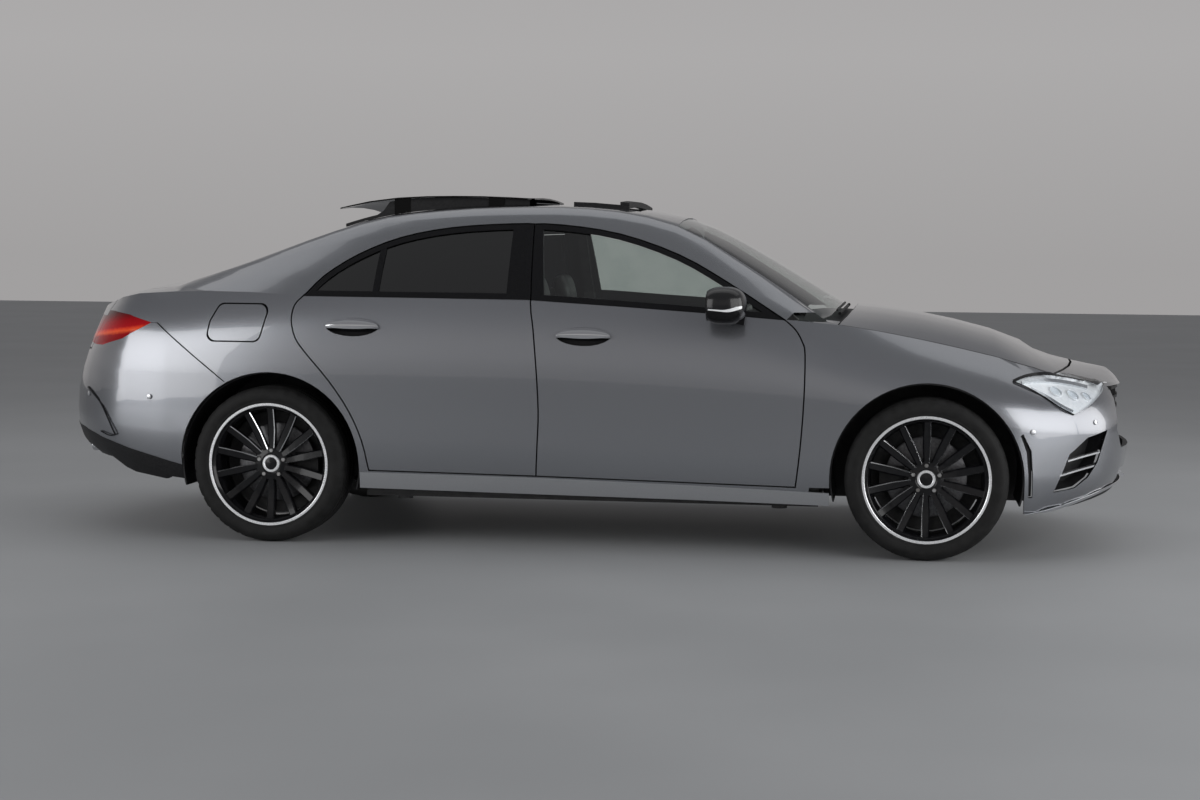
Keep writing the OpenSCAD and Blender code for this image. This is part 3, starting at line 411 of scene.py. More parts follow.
def lamp_red(name):
    """Tail lamp lens: dark red with a lit orange band along its middle and a pale lower edge."""
    m, nt = new_mat(name)
    tc = add(nt, "ShaderNodeTexCoord")
    sep = add(nt, "ShaderNodeSeparateXYZ")
    nt.links.new(tc.outputs["Object"], sep.inputs["Vector"])
    no = add(nt, "ShaderNodeTexNoise")
    no.inputs["Scale"].default_value = 60.0
    nt.links.new(tc.outputs["Object"], no.inputs["Vector"])
    mid = add(nt, "ShaderNodeMath", operation="MULTIPLY_ADD")
    nt.links.new(sep.outputs["X"], mid.inputs[0])
    mid.inputs[1].default_value, mid.inputs[2].default_value = -.12, -.22
    v = add(nt, "ShaderNodeMath", operation="ADD")
    nt.links.new(sep.outputs["Z"], v.inputs[0])
    nt.links.new(mid.outputs["Value"], v.inputs[1])
    wob = add(nt, "ShaderNodeMath", operation="MULTIPLY_ADD")
    nt.links.new(no.outputs["Fac"], wob.inputs[0])
    wob.inputs[1].default_value = .012
    nt.links.new(v.outputs["Value"], wob.inputs[2])
    mr = add(nt, "ShaderNodeMapRange")
    mr.inputs["From Min"].default_value, mr.inputs["From Max"].default_value = .82, .98
    nt.links.new(wob.outputs["Value"], mr.inputs["Value"])
    rp = add(nt, "ShaderNodeValToRGB")
    stops = [(0, (.6, .45, .45, 1)), (.12, (.45, .03, .04, 1)), (.22, (.22, .003, .005, 1)),
             (.38, (.30, .006, .008, 1)), (.46, (.80, .10, .03, 1)), (.51, (.72, .05, .02, 1)),
             (.57, (.40, .008, .012, 1)), (.74, (.30, .004, .008, 1)), (.88, (.14, .002, .004, 1)),
             (1, (.05, .002, .002, 1))]
    fill_ramp(rp, stops)
    nt.links.new(mr.outputs["Result"], rp.inputs["Fac"])
    bs = add(nt, "ShaderNodeBsdfPrincipled")
    nt.links.new(rp.outputs["Color"], bs.inputs["Base Color"])
    bs.inputs["Roughness"].default_value = .1
    bs.inputs["IOR"].default_value = 1.2
    out = add(nt, "ShaderNodeOutputMaterial")
    nt.links.new(bs.outputs["BSDF"], out.inputs["Surface"])
    return m


BELT = [(-1.13, 1.034), (-.615, 1.032), (-.172, 1.029), (.223, 1.006), (.552, .985), (.9, .958)]
M = {
    "paint": paint_mat("paint"),
    "door_paint": paint_mat("door_paint", BELT),
    "black_gloss": surface_mat("black_gloss", (.006, .006, .007), (.012, .012, .013), 200., (.08, .14),
                               ior=1.25),
    "black_satin": surface_mat("black_satin", (.006, .006, .007), (.014, .014, .015), 120., (.45, .6),
                               bump=.4, ior=1.35),
    "underbody": surface_mat("underbody", (.012, .012, .013), (.03, .03, .03), 20., (.6, .8), bump=.5),
    "satin_silver": surface_mat("satin_silver", (.50, .51, .53), (.56, .57, .59), 500., (.26, .32), metal=.85,
                                coat=.4),
    "chrome": surface_mat("chrome", (.76, .77, .79), (.80, .81, .83), 700., (.07, .10), metal=1.),
    "machined": surface_mat("machined", (.72, .73, .75), (.86, .87, .88), 300., (.14, .22), metal=1.),
    "rim_lip": surface_mat("rim_lip", (.84, .85, .87), (.92, .93, .94), 300., (.24, .32), metal=.55, coat=.5),
    "iron": surface_mat("iron", (.012, .012, .013), (.03, .03, .031), 45., (.5, .7), metal=.3, bump=.6),
    "disc": surface_mat("disc", (.10, .10, .105), (.16, .16, .165), 120., (.3, .42), metal=.9),
    "steel": surface_mat("steel", (.25, .24, .23), (.4, .4, .4), 30., (.35, .5), metal=.9),
    "plastic": surface_mat("plastic", (.012, .012, .013), (.02, .02, .022), 90., (.5, .65), bump=.5,
                           bump_scale=900.),
    "headliner": surface_mat("headliner", (.10, .10, .105), (.14, .14, .145), 300., (.8, .95), bump=.5,
                             bump_scale=1500.),
    "leather": surface_mat("leather", (.012, .012, .013), (.024, .023, .023), 40., (.42, .55), bump=.5,
                           bump_scale=500.),
    "alloy": surface_mat("alloy", (.004, .004, .005), (.009, .009, .010), 60., (.12, .2), coat=.15, ior=1.35),
    "rubber": surface_mat("rubber", (.006, .006, .006), (.012, .012, .012), 30., (.62, .78), bump=.4,
                          bump_scale=400., ior=1.35),
    "reflector": surface_mat("reflector", (.60, .62, .64), (.78, .80, .82), 70., (.08, .2), metal=.9),
    "red": lamp_red("red"),
    "mirror_cap": surface_mat("mirror_cap", (.010, .010, .011), (.017, .017, .018), 500., (.2, .26), coat=.35,
                              ior=1.3),
    "lamp_white": surface_mat("lamp_white", (.86, .88, .9), (.95, .96, .97), 60., (.15, .25), coat=1.),
    "glass": glass_mat("glass", (.86, .90, .885), (.89, .925, .91), 1.85),
    "privacy": glass_mat("privacy", (.07, .072, .077), (.09, .093, .098), 1.95),
    "roof_glass": glass_mat("roof_glass", (.03, .032, .034), (.05, .052, .055), 1.3),
    "lens": glass_mat("lens", (.9, .92, .94), (.95, .97, .98)),
    "mirror_glass": surface_mat("mirror_glass", (.80, .82, .84), (.84, .86, .88), 3., (.01, .02), metal=1.),
}
SIDES = ("right", "left")
SGN = {"right": -1, "left": 1}
DOORS = [f"{e}_door_{s}" for e in ("front", "rear") for s in SIDES]
LOOK = {
    "paint": ["body_side_right", "body_side_left", "roof_panel", "front_fenders", "front_bumper",
              "rear_bumper", "hood", "trunk_lid", "fuel_flap", "mirror_right", "mirror_left",
              "front_handle_right", "front_handle_left", "rear_handle_right", "rear_handle_left"],
    "door_paint": DOORS,
    "black_satin": ["splitter", "grille", "rear_diffuser", "wind_deflector", "wheel_liners"],
    "underbody": ["floor_pan", "boot_floor", "front_rails"],
    "satin_silver": ["side_skirts"],
    "glass": ["windscreen", "front_glass_right", "front_glass_left"],
    "privacy": ["rear_window", "rear_glass_right", "rear_glass_left"],
    "roof_glass": ["sunroof_glass"],
    "lens": ["headlamps"],
    "red": ["tail_lamps", "lid_lamps"],
    "iron": ["front_subframe", "rear_axle", "knuckle_right", "knuckle_left", "engine_block"],
    "steel": ["exhaust"],
    "plastic": ["dashboard", "steering_wheel"],
    "leather": ["front_seats", "rear_bench"],
    "alloy": [f"wheel_{e}_{s}" for e in ("front", "rear") for s in SIDES],
    "rubber": [f"tyre_{e}_{s}" for e in ("front", "rear") for s in SIDES],
}
for key, names in LOOK.items():
    for n in names:
        nodes[n].data.materials.clear()
        nodes[n].data.materials.append(M[key])
for n in DOORS:
    smooth_panel(n, inner="plastic")
for n in ("body_side_right", "body_side_left", "front_fenders", "front_bumper", "rear_bumper", "hood",
          "trunk_lid", "fuel_flap"):
    smooth_panel(n, inner="underbody")
smooth_panel("roof_panel", inner="headliner")
for n in ("splitter", "rear_diffuser", "side_skirts", "windscreen", "rear_window", "front_glass_right",
          "front_glass_left", "rear_glass_right", "rear_glass_left", "tail_lamps", "lid_lamps"):
    smooth_panel(n)
for n in ("sunroof_glass", "steering_wheel", "exhaust", "knuckle_right", "knuckle_left", "wheel_liners",
          "wind_deflector", "rear_axle", "front_handle_right", "front_handle_left", "rear_handle_right",
          "rear_handle_left"):
    nodes[n].data.shade_smooth()
    nodes[n].data.set_sharp_from_angle(angle=math.radians(35))

md = nodes["sunroof_glass"].modifiers.new("weld", "WELD")
md.merge_threshold = .0001
md = nodes["sunroof_glass"].modifiers.new("edges", "EDGE_SPLIT")
md.split_angle = math.radians(30)


# Pieces: sizes in millimetres in the car's frame.
def make(name, verts, faces, mats, body, angle=35, index=None, close=True):
    me = bpy.data.meshes.new(name)
    me.from_pydata([tuple(float(c) * MM for c in v) for v in verts], [], [tuple(f) for f in faces])
    for m in ([mats] if isinstance(mats, str) else mats):
        me.materials.append(M[m])
    if index is not None:
        me.polygons.foreach_set("material_index", index)
    if close:
        bm = bmesh.new()
        bm.from_mesh(me)
        bmesh.ops.recalc_face_normals(bm, faces=bm.faces)
        bm.to_mesh(me)
        bm.free()
    me.shade_smooth()
    me.set_sharp_from_angle(angle=math.radians(angle))
    o = bpy.data.objects.new(name, me)
    bpy.context.scene.collection.objects.link(o)
    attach(o, body)
    return o


class Build:
    """Collects several pieces of mesh, each with its material, into one object."""

    def __init__(self):
        self.v, self.f, self.i, self.mats = [], [], [], []

    def add(self, verts, faces, mat):
        if mat not in self.mats:
            self.mats.append(mat)
        k, m = len(self.v), self.mats.index(mat)
        self.v += [tuple(p) for p in verts]
        self.f += [tuple(k + a for a in f) for f in faces]
        self.i += [m] * len(faces)
        return self

    def done(self, name, body, move=None, angle=35):
        v = [move(p) for p in self.v] if move else self.v
        return make(name, v, self.f, self.mats, body, angle, self.i)


def loops(rows, n):
    """Faces between neighbouring closed rows of n points."""
    return [(i * n + k, i * n + (k + 1) % n, (i + 1) * n + (k + 1) % n, (i + 1) * n + k)
            for i in range(rows - 1) for k in range(n)]


def capped(rows, n):
    return loops(rows, n) + [tuple(range(n)), tuple(range((rows - 1) * n, rows * n))]


def lathe(profile, n, closed=False):
    """Turns (radius, height) points about Z."""
    m = len(profile)
    v = [(r * math.cos(2 * math.pi * k / n), r * math.sin(2 * math.pi * k / n), z) for k in range(n)
         for r, z in profile]
    f = [(k * m + j, k * m + (j + 1) % m, (k + 1) % n * m + (j + 1) % m, (k + 1) % n * m + j)
         for k in range(n) for j in range(m if closed else m - 1)]
    return v, f


def tube(points, radius, n=10):
    """A round bar through points, with capped ends."""
    pts = [Vector(p) for p in points]
    v = []
    up = Vector((0, 0, 1))
    for i, p in enumerate(pts):
        t = (pts[min(i + 1, len(pts) - 1)] - pts[max(i - 1, 0)]).normalized()
        a = t.cross(up)
        a = (a if a.length > .01 else t.cross(Vector((1, 0, 0)))).normalized()
        b = t.cross(a)
        v += [p + (a * math.cos(2 * math.pi * k / n) + b * math.sin(2 * math.pi * k / n)) * radius
              for k in range(n)]
    return v, capped(len(pts), n)


def block(c, size, turn=0.0):
    """A box with its middle at c, turned about Y by degrees."""
    a = math.radians(turn)
    out = []
    for sx in (-.5, .5):
        for sy in (-.5, .5):
            for sz in (-.5, .5):
                x, y, z = sx * size[0], sy * size[1], sz * size[2]
                out.append((c[0] + x * math.cos(a) + z * math.sin(a), c[1] + y,
                            c[2] - x * math.sin(a) + z * math.cos(a)))
    return out, [(0, 1, 3, 2), (4, 6, 7, 5), (0, 4, 5, 1), (2, 3, 7, 6), (0, 2, 6, 4), (1, 5, 7, 3)]


def on_side(x, z, lift=0.0):
    """The right body side at x and height z, moved out by lift."""
    x0 = x
    for _ in range(12):
        x0 -= float(sheared(np.array(x0), np.array(z))) - x

    def at(u, w):
        lo, hi = float(lower_z(u)), float(upper_z(u))
        t = min(max((w - lo) / (hi - lo), 0), 1)
        return side_point(np.array(u), np.array(t))
    p = at(x0, z)
    n = np.cross(at(x0 + 3, z) - p, at(x0, z + 3) - p)
    n /= max(np.linalg.norm(n), 1e-9)
    return p + n * lift


def on_cabin(x, z, lift=0.0):
    def at(u, w):
        rz, ry, wd = float(rail_z(u)), float(rail_y(u)), float(side_width(np.array(u), 1.0)) - 10
        base = min(float(upper_z(u)), rz - 40)
        t = (w - base) / (rz - base)
        return np.array([u, -(wd + (ry - wd) * t + 56 * t * (1 - t)), w])
    p = at(x, z)
    n = np.cross(at(x + 3, z) - p, at(x, z + 3) - p)
    n /= max(np.linalg.norm(n), 1e-9)
    return p + n * lift


def on_top(x, y, lift=0.0, cabin=True):
    """Bonnet, boot lid or, with cabin, the glass and roof at x and y: whichever surface is higher."""
    q = min(abs(y) / max(float(side_width(np.array(x), 1.0)), 1), 1)
    z = float(upper_z(x)) + float(crown(x)) * (1 - q * q)
    if cabin and -1930 < x < 1290:
        k = min(abs(y) / float(rail_y(x)), 1)
        z = max(z, float(rail_z(x)) + (float(spine_z(x)) - float(rail_z(x))) * (1 - k * k))
    return np.array([x, y, z + lift])


def closed_curve(points, n):
    m, out = len(points), []
    for i in range(m):
        out += blend(*(np.array(points[(i + k) % m], float) for k in (-1, 0, 1, 2)), n)
    return out


def dense(points, step):
    out = []
    for i, a in enumerate(points):
        a, b = np.array(a, float), np.array(points[(i + 1) % len(points)], float)
        k = max(1, int(np.linalg.norm(b - a) / step))
        out += [a + (b - a) * j / k for j in range(k)]
    return out


def patch(outline, where, lift=0.0, step=14.0):
    """A sheet that follows the body inside an outline; returns its points, faces and rim."""
    rim = dense(outline, step)
    P = np.array(rim)
    inner = []
    for x in np.arange(P[:, 0].min() + step * .5, P[:, 0].max(), step):
        for z in np.arange(P[:, 1].min() + step * .5, P[:, 1].max(), step):
            a, b = P, np.roll(P, -1, 0)
            hit = (a[:, 1] > z) != (b[:, 1] > z)
            cut = a[:, 0] + (z - a[:, 1]) / np.where(b[:, 1] == a[:, 1], 1e-9,
                                                     b[:, 1] - a[:, 1]) * (b[:, 0] - a[:, 0])
            if np.sum(hit & (cut > x)) % 2 and np.min(np.hypot(P[:, 0] - x, P[:, 1] - z)) > step * .45:
                inner.append((x, z))
    pts = [Vector(p) for p in [*map(tuple, rim), *inner]]
    n = len(rim)
    co, _, faces, *_ = delaunay_2d_cdt(pts, [(i, (i + 1) % n) for i in range(n)], [], 1, 1e-4)

    def lay(points):
        return [where(c[0], c[1], lift) for c in points]
    return lay(co), [tuple(f) for f in faces], lay(rim)


def walls(rim_a, rim_b):
    n = len(rim_a)
    return list(rim_a) + list(rim_b), [(i, (i + 1) % n, n + (i + 1) % n, n + i) for i in range(n)]


def ribbon(path, where, width, lift, thick=2.0):
    """A thin strip along a side-view path, width up and down, standing on the body."""
    v = []
    for i, p in enumerate(path):
        a, b = np.array(path[max(i - 1, 0)], float), np.array(path[min(i + 1, len(path) - 1)], float)
        t = (b - a) / max(np.linalg.norm(b - a), 1e-9)
        s = np.array([-t[1], t[0]]) * width / 2
        p = np.array(p, float)
        for q, h in ((p - s, lift), (p + s, lift), (p + s, lift + thick), (p - s, lift + thick)):
            v.append(where(q[0], q[1], h))
    return v, capped(len(path), 4)


def open_curve(points, n):
    pts = [np.array(p, float) for p in points]
    out = []
    for i in range(len(pts) - 1):
        out += blend(pts[max(i - 1, 0)], pts[i], pts[i + 1], pts[min(i + 2, len(pts) - 1)], n)
    return out + [pts[-1]]


def standing(x, z, foot, above, mesh):
    """A turned mesh set upright on the body's side at x and z, its foot at lift foot."""
    c = on_side(x, z, foot)
    rot = Vector((0, 0, 1)).rotation_difference(Vector(on_side(x, z, above) - c).normalized()).to_matrix()
    return [tuple(Vector(c) + rot @ Vector(p)) for p in mesh[0]], mesh[1]


def flip(p):
    return (p[0], -p[1], p[2])


def per_side(name, body, build, angle=35):
    """The same piece on both sides; body may hold {} for the side's name."""
    out = []
    for s in SIDES:
        out.append(build.done(f"{name}_{s}", body.format(s), flip if s == "left" else None, angle))
    return out


# Wheels and tyres.
RIM, RW, HUB_Z, HALF_TRACK = 259.0, 104.5, 328.0, 806.0
TYRE_W = 225.0
AXLES = {"front": 1474.0, "rear": -1255.0}
SPOKES, SPOKE_FROM, SPOKE_ROWS, SPOKE_RING = 14, 48, 12, 6
CHAMFER = 1         # the side of a spoke's ring that is machined bright
NUTS, NUT_CIRCLE = 5, 55
TYRE_SEGMENTS, GROOVE_EVERY, GROOVE_DEPTH = 216, 6, 3.5


def wheel_mesh():
    b = Build()
    b.add(*lathe([(RIM - 12, -RW), (RIM - 1, -RW), (RIM - 1, -RW + 9), (RIM - 19, -RW + 14),
                  (RIM - 28, -RW + 60), (RIM - 28, RW - 50), (RIM - 19, RW - 14), (RIM - 1, RW - 9),
                  (RIM - 1, RW - 1)], 96), "alloy")
    b.add(*lathe([(RIM - 1, RW - 1), (RIM - 2, RW), (RIM - 10, RW), (RIM - 12.5, RW - 1.5)], 96), "rim_lip")
    b.add(*lathe([(RIM - 12.5, RW - 1.5), (RIM - 16, RW - 9), (RIM - 25, RW - 17), (RIM - 34, RW - 46),
                  (RIM - 34, -RW + 60), (RIM - 26, -RW + 16), (RIM - 12, -RW)], 96), "alloy")
    rs = np.linspace(SPOKE_FROM, RIM - 14, SPOKE_ROWS)
    for k in range(SPOKES):
        a = 2 * math.pi * (k + .5) / SPOKES
        ca, sa = math.cos(a), math.sin(a)
        rows = []
        for r in rs:
            t = (r - SPOKE_FROM) / (RIM - 14 - SPOKE_FROM)
            zt = 60 + 4 * t + 22 * t**3
            wb = 11.5 + 6.0 * min(1, t * 2.2) - 2.0 * t
            row = [(-wb, zt - 30), (-wb, zt - 3), (-wb + 3.2, zt), (wb - 5, zt - 1.5), (wb, zt - 8),
                   (wb, zt - 30)]
            rows.append([(r * ca - w * sa, r * sa + w * ca, z) for w, z in row])
        v = [p for row in rows for p in row]
        f = loops(SPOKE_ROWS, SPOKE_RING)
        b.add(v, [q for n, q in enumerate(f) if n % SPOKE_RING != CHAMFER], "alloy")
        b.add(v, [q for n, q in enumerate(f) if n % SPOKE_RING == CHAMFER], "machined")
    b.add(*lathe([(74, 20), (74, 50), (70, 56), (60, 60), (44, 62), (36, 58), (0.1, 58)], 64), "alloy")
    b.add(*lathe([(37, 56), (37, 64), (35, 66.5), (28, 66.8), (26, 65.2)], 48), "rim_lip")
    b.add(*lathe([(26, 65.2), (20, 66.4), (0.1, 67.4)], 48), "alloy")
    seat = lathe([(14, 56), (14, 61.2), (11.5, 61.4), (11, 55)], 20)
    nut = lathe([(9, 50), (9, 63), (7.5, 65), (0.1, 65)], 6)
    for k in range(NUTS):
        a = 2 * math.pi * (k + .25) / NUTS
        for (v, f), mat in ((seat, "alloy"), (nut, "steel")):
            b.add([(x + NUT_CIRCLE * math.cos(a), y + NUT_CIRCLE * math.sin(a), z) for x, y, z in v], f, mat)
    b.add(*lathe([(64, -20), (160, -20), (165, -22), (165, -28), (150, -29), (150, -33), (165, -34),
                  (165, -42), (160, -44), (64, -44)], 72), "disc")
    b.add(*lathe([(74, 24), (74, -60), (64, -66), (19, -66)], 48), "iron")
    return b


def tyre_mesh():
    half = [(RIM - 14, RW - 16), (RIM - 2, RW - 9), (RIM - .5, RW - 1), (RIM + 5, RW + 3),
            (RIM + 8, RW + 2.4), (RIM + 14, RW + 5.5), (RIM + 22, TYRE_W / 2 - .5), (RIM + 34, TYRE_W / 2),
            (RIM + 44, TYRE_W / 2 - 2), (RIM + 46, TYRE_W / 2 - 3.4), (RIM + 54, TYRE_W / 2 - 7),
            (RIM + 62, TYRE_W / 2 - 15), (RIM + 66.5, TYRE_W / 2 - 24), (RIM + 67.8, TYRE_W / 2 - 33),
            (RIM + 68.2, 74), (RIM + 61.5, 73), (RIM + 61.5, 66), (RIM + 68.5, 65), (RIM + 69, 30),
            (RIM + 62, 29), (RIM + 62, 21), (RIM + 69, 20), (RIM + 69, 0)]
    prof = half + [(r, -z) for r, z in reversed(half[:-1])]
    m = len(prof)
    v, f = lathe(prof, TYRE_SEGMENTS)
    out = []
    for i, (x, y, z) in enumerate(v):
        r = math.hypot(x, y)
        grooved = (i // m + (2 if z > 0 else 0)) % GROOVE_EVERY == 0
        g = (r - (GROOVE_DEPTH if abs(z) > 74 and r > RIM + 57 and grooved else 0)) / r
        out.append((x * g, y * g, z))
    b = Build()
    b.add(out, f, "rubber")
    return b


def to_axle(e, s):
    """Takes a point from a wheel's own frame to its place on the car."""
    wx, g = AXLES[e], SGN[s]
    return lambda p: (wx + p[0], g * (HALF_TRACK + p[2]), HUB_Z - g * p[1])


rim, tread = wheel_mesh(), tyre_mesh()
for e in AXLES:
    for s in SIDES:
        n = f"wheel_{e}_{s}"
        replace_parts(rim.done(f"alloy_{e}_{s}", n, to_axle(e, s), 30), n)
        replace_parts(tread.done(f"treaded_tyre_{e}_{s}", n, to_axle(e, s), 40), f"tyre_{e}_{s}")

for e, body in (("front", "knuckle_{}"), ("rear", "body")):
    for s in SIDES:
        b = Build().add(*lathe([(70, -52), (217, -52), (221, -50), (221, -54), (217, -56), (70, -56)], 64,
                               True), "iron")
        b.done(f"brake_shield_{e}_{s}", body.format(s), to_axle(e, s))
b = Build()
for y in (-468, 468):
    b.add(*block((1475, y, 295), (850, 3, 180)), "underbody")
for y in (-504, 504):
    b.add(*block((-1255, y, 345), (790, 3, 200)), "underbody")
b.done("housing_panels", "body")
b = Build()
for y in (-498, 498):
    b.add(*block((-1600, y, 685), (980, 4, 470)), "headliner")
b.done("boot_trim", "body")

# Lamps.
LAMP = [(1812, 726), (1852, 745), (1900, 757), (1965, 758), (2050, 746), (2150, 722), (2215, 713),
        (2188, 670), (2140, 634), (2100, 610), (2058, 594), (2000, 624), (1939, 664), (1870, 702)]
smooth_panel("headlamps", inner="lamp_white")
b = Build().add(*patch(LAMP, on_side, -15)[:2], "lamp_white")
for x, z, r in ((1990, 692, 26), (2062, 676, 26), (2122, 668, 20)):
    for prof, mt in (([(r + 3, 0), (r + 3, 6), (r + 1, 8), (r, 7), (r, 3)], "lamp_white"),
                     ([(r, 4), (r * .8, 7.5), (r * .5, 9.5), (.1, 10.5)], "lens"),
                     ([(r, 2), (.1, 2)], "lamp_white")):
        b.add(*standing(x, z, -16, -8, lathe(prof, 28)), mt)
b.add(*ribbon(open_curve([(1850, 726), (1900, 734), (1980, 731), (2060, 718), (2130, 700)], 4), on_side, 12,
              -15, 8), "reflector")
b.add(*ribbon(open_curve([(1885, 703), (1945, 674), (2010, 634), (2058, 610)], 4), on_side, 9, -15, 8),
      "reflector")
per_side("headlamp_inside", "body", b, 50)
b = Build()
b.add(*ribbon(open_curve([(1813, 727), (1852, 742), (1900, 751), (1965, 751), (2050, 738), (2115, 723)], 4),
              on_side, 10, -1.2, 2.6), "black_gloss")
b.add(*patch([(2108, 736), (2150, 724), (2215, 714), (2172, 698), (2110, 723)], on_side, 1.0, 10)[:2],
      "black_gloss")
b.add(*ribbon(open_curve([(1813, 725), (1870, 701), (1939, 663), (2000, 623), (2056, 594)], 4), on_side, 4,
              -1.2, 2.0), "black_gloss")
per_side("headlamp_brow", "body", b)

# Bumper details.
INTAKE = [(1978, 282), (2008, 352), (2040, 436), (2116, 500), (2204, 524), (2186, 470), (2163, 398),
          (2121, 335), (2068, 297)]
b = Build()
mouth = patch(INTAKE, on_side, -17)[2]
v, f, back = patch(INTAKE, on_side, -70)
b.add(v, f, "black_satin").add(*walls(mouth, back), "black_satin")
for (x0, z0), (x1, z1) in (((2037, 409), (2175, 436)), ((2003, 350), (2152, 382))):
    bar = open_curve([(x0, z0), ((x0 + x1) / 2, (z0 + z1) / 2 + 2), (x1, z1)], 5)
    b.add(*ribbon(bar, on_side, 7, -20, 16), "satin_silver")
SLOT = [(1842, 512), (1866, 448), (1876, 350), (1878, 262), (1894, 262), (1893, 360), (1886, 452),
        (1852, 520)]
b.add(*patch(SLOT, on_side, -17.5)[:2], "black_satin")
per_side("bumper_ducts", "body", b)
edge = open_curve([(1866, 186), (1945, 203), (2025, 222), (2130, 250), (2232, 277), (2290, 282), (2325, 284),
                   (2340, 284.5)], 6)
per_side("splitter_edge", "body", Build().add(*ribbon(edge, on_side, 12, .6, 3.5), "satin_silver"))
SENSOR = lathe([(10.5, 0), (10.5, 3.6), (9, 4.2), (.1, 4.4)], 24)
b = Build()
for x, z in ((1891, 527), (2150, 560), (-1781, 602), (-2120, 600)):
    b.add(*standing(x, z, -3, 1, SENSOR), "satin_silver")
per_side("parking_sensors", "body", b)
b = Build()
b.add(*ribbon(open_curve([(-2128, 627), (-2080, 600), (-2033, 564), (-1990, 500), (-1953, 432)], 5), on_side,
              7, -1.0, 2.2), "black_gloss")
b.add(*ribbon(open_curve([(-1953, 432), (-1990, 428), (-2039, 443)], 5), on_side, 5, -1.0, 2.2),
      "black_gloss")
per_side("bumper_vent", "body", b)
seam = [(-1758 + 310 * t, 915 - 241 * t) for t in np.linspace(0, 1, 12)]
per_side("bumper_seal", "body", Build().add(*ribbon(seam, on_side, 5, -1.4, 1.7), "black_satin"))
b = Build()
for y in (-380, 380):
    v, f = lathe([(36, 0), (36, 70), (33, 72), (31, 70), (31, 2)], 32)
    b.add([(-2165 - z, y + py, 345 + px * .8) for px, py, z in v], f, "chrome")
b.done("exhaust_tips", "body")
b = Build()
b.add(*block((2128, 0, 560), (6, 900, 240)), "black_satin")
b.done("radiator_screen", "body")

# Side glass divider, mirrors, handles with a black sheet in their cups as painted shade.
divider = open_curve([(-815, 1052), (-812, 1150), (-808, 1245)], 4)
per_side("quarter_divider", "rear_door_{}",
         Build().add(*ribbon(divider, on_cabin, 26, -5.5, 4), "black_gloss"))

CUP = [(-116, 2), (-88, 24), (-30, 37), (40, 37), (92, 24), (116, 2), (88, -22), (30, -37), (-40, -35),
       (-92, -20)]
BLADE_ROWS = 29
BLADE_RING = (0, .12, .25, .38, .5, .62, .75, .88, 1, .85, .5, .15)   # up its face, then down its back
BLADE_BACK = 9      # where the back begins in the ring
for e, c in (("front", (75, 882)), ("rear", (-898, 908))):
    cup = [(c[0] + x, c[1] + z) for x, z in CUP]
    b = Build()
    # A black sheet deep in each handle's cup is painted shade, where the recess falls dark under the chrome
    # blade.
    b.add(*patch(closed_curve([((x - c[0]) * .985 + c[0], (z - c[1]) * .97 + c[1]) for x, z in cup], 3),
                 on_side, -28.5)[:2], "black_gloss")
    v = []
    for u in np.linspace(-.99, .99, BLADE_ROWS):
        k = (1 - u * u)**.6
        for j, w in enumerate(BLADE_RING):
            lift = 11.4 if j >= BLADE_BACK else 13.2 + 5.5 * k * math.sin(math.pi * w)
            v.append(on_side(c[0] + 113 * u, c[1] + 3 + k * (34 * w - 12), lift))
    b.add(v, capped(BLADE_ROWS, len(BLADE_RING)), "chrome")
    per_side(f"{e}_handle_cup", e + "_door_{}", b)

NU, NV = 40, 24
MIRROR_X, MIRROR_Y, MIRROR_Z = 664, -992, 1016
HALF_X, HALF_Y, HALF_Z = 92, 88, 80
CAP_FROM = 1000     # the painted cap ends at this height


def signed_power(a, k):
    return math.copysign(abs(a)**k, a)


def cap_skin(x, z):
    """The mirror's outer skin at x and z from its middle."""
    lo, hi = -HALF_Y, 0.0
    for _ in range(30):
        y = (lo + hi) / 2
        k = (y + HALF_Y) / (2 * HALF_Y)
        a = ((abs(x + 10 * (1 - k)) / (HALF_X * (.9 + .12 * k)))**2.5
             + (abs(z - 6 * (1 - k)) / (HALF_Z * (.82 + .24 * k)))**2.667)
        lo, hi = (lo, y) if a + (abs(y) / HALF_Y)**2.857 < 1 else (y, hi)
    return (MIRROR_X + x, MIRROR_Y + lo - 1.2, MIRROR_Z + z)


b = Build()
v = []
for i in range(NV + 1):
    for j in range(NU):
        th, ph = math.pi * i / NV, 2 * math.pi * j / NU
        x = HALF_X * signed_power(math.sin(th) * math.cos(ph), .8)
        z = HALF_Z * signed_power(math.sin(th) * math.sin(ph), .75)
        y = HALF_Y * signed_power(math.cos(th), .7)
        k = (y + HALF_Y) / (2 * HALF_Y)
        z *= .82 + .24 * k
        x = max(x * (.9 + .12 * k), -62 - 10 * k)
        v.append((MIRROR_X + x - 10 * (1 - k), MIRROR_Y + y, MIRROR_Z + z + 6 * (1 - k)))
f = loops(NV + 1, NU)
up = [q for q in f if sum(v[a][2] for a in q) / 4 > CAP_FROM]
lo = [q for q in f if sum(v[a][2] for a in q) / 4 <= CAP_FROM]
b.add(v, up, "mirror_cap").add(v, lo, "black_gloss")
b.add(*block((700, -905, 962), (80, 90, 34), 8), "black_gloss")
b.add([(593, MIRROR_Y + 72 * math.cos(t), MIRROR_Z + 60 * math.sin(t))
       for t in np.linspace(0, 2 * math.pi, 40, endpoint=False)], [tuple(range(40))], "mirror_glass")
strip = open_curve([(-62, -12, 2.5), (-30, -14, 3), (0, -16, 4), (24, -14, 6), (50, -7, 7), (72, -1, 5)], 5)
b.add([cap_skin(x, z + g * h) for g in (-1, 1) for x, z, h in strip],
      [(i, i + 1, len(strip) + i + 1, len(strip) + i) for i in range(len(strip) - 1)], "lamp_white")
for s, o in zip(SIDES, per_side("door_mirror", "front_door_{}", b, 50)):
    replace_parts(o, f"mirror_{s}")

# Cabin.
md = nodes["dashboard"].modifiers.new("soft_edges", "BEVEL")
md.width, md.segments, md.limit_method = .03, 3, "ANGLE"


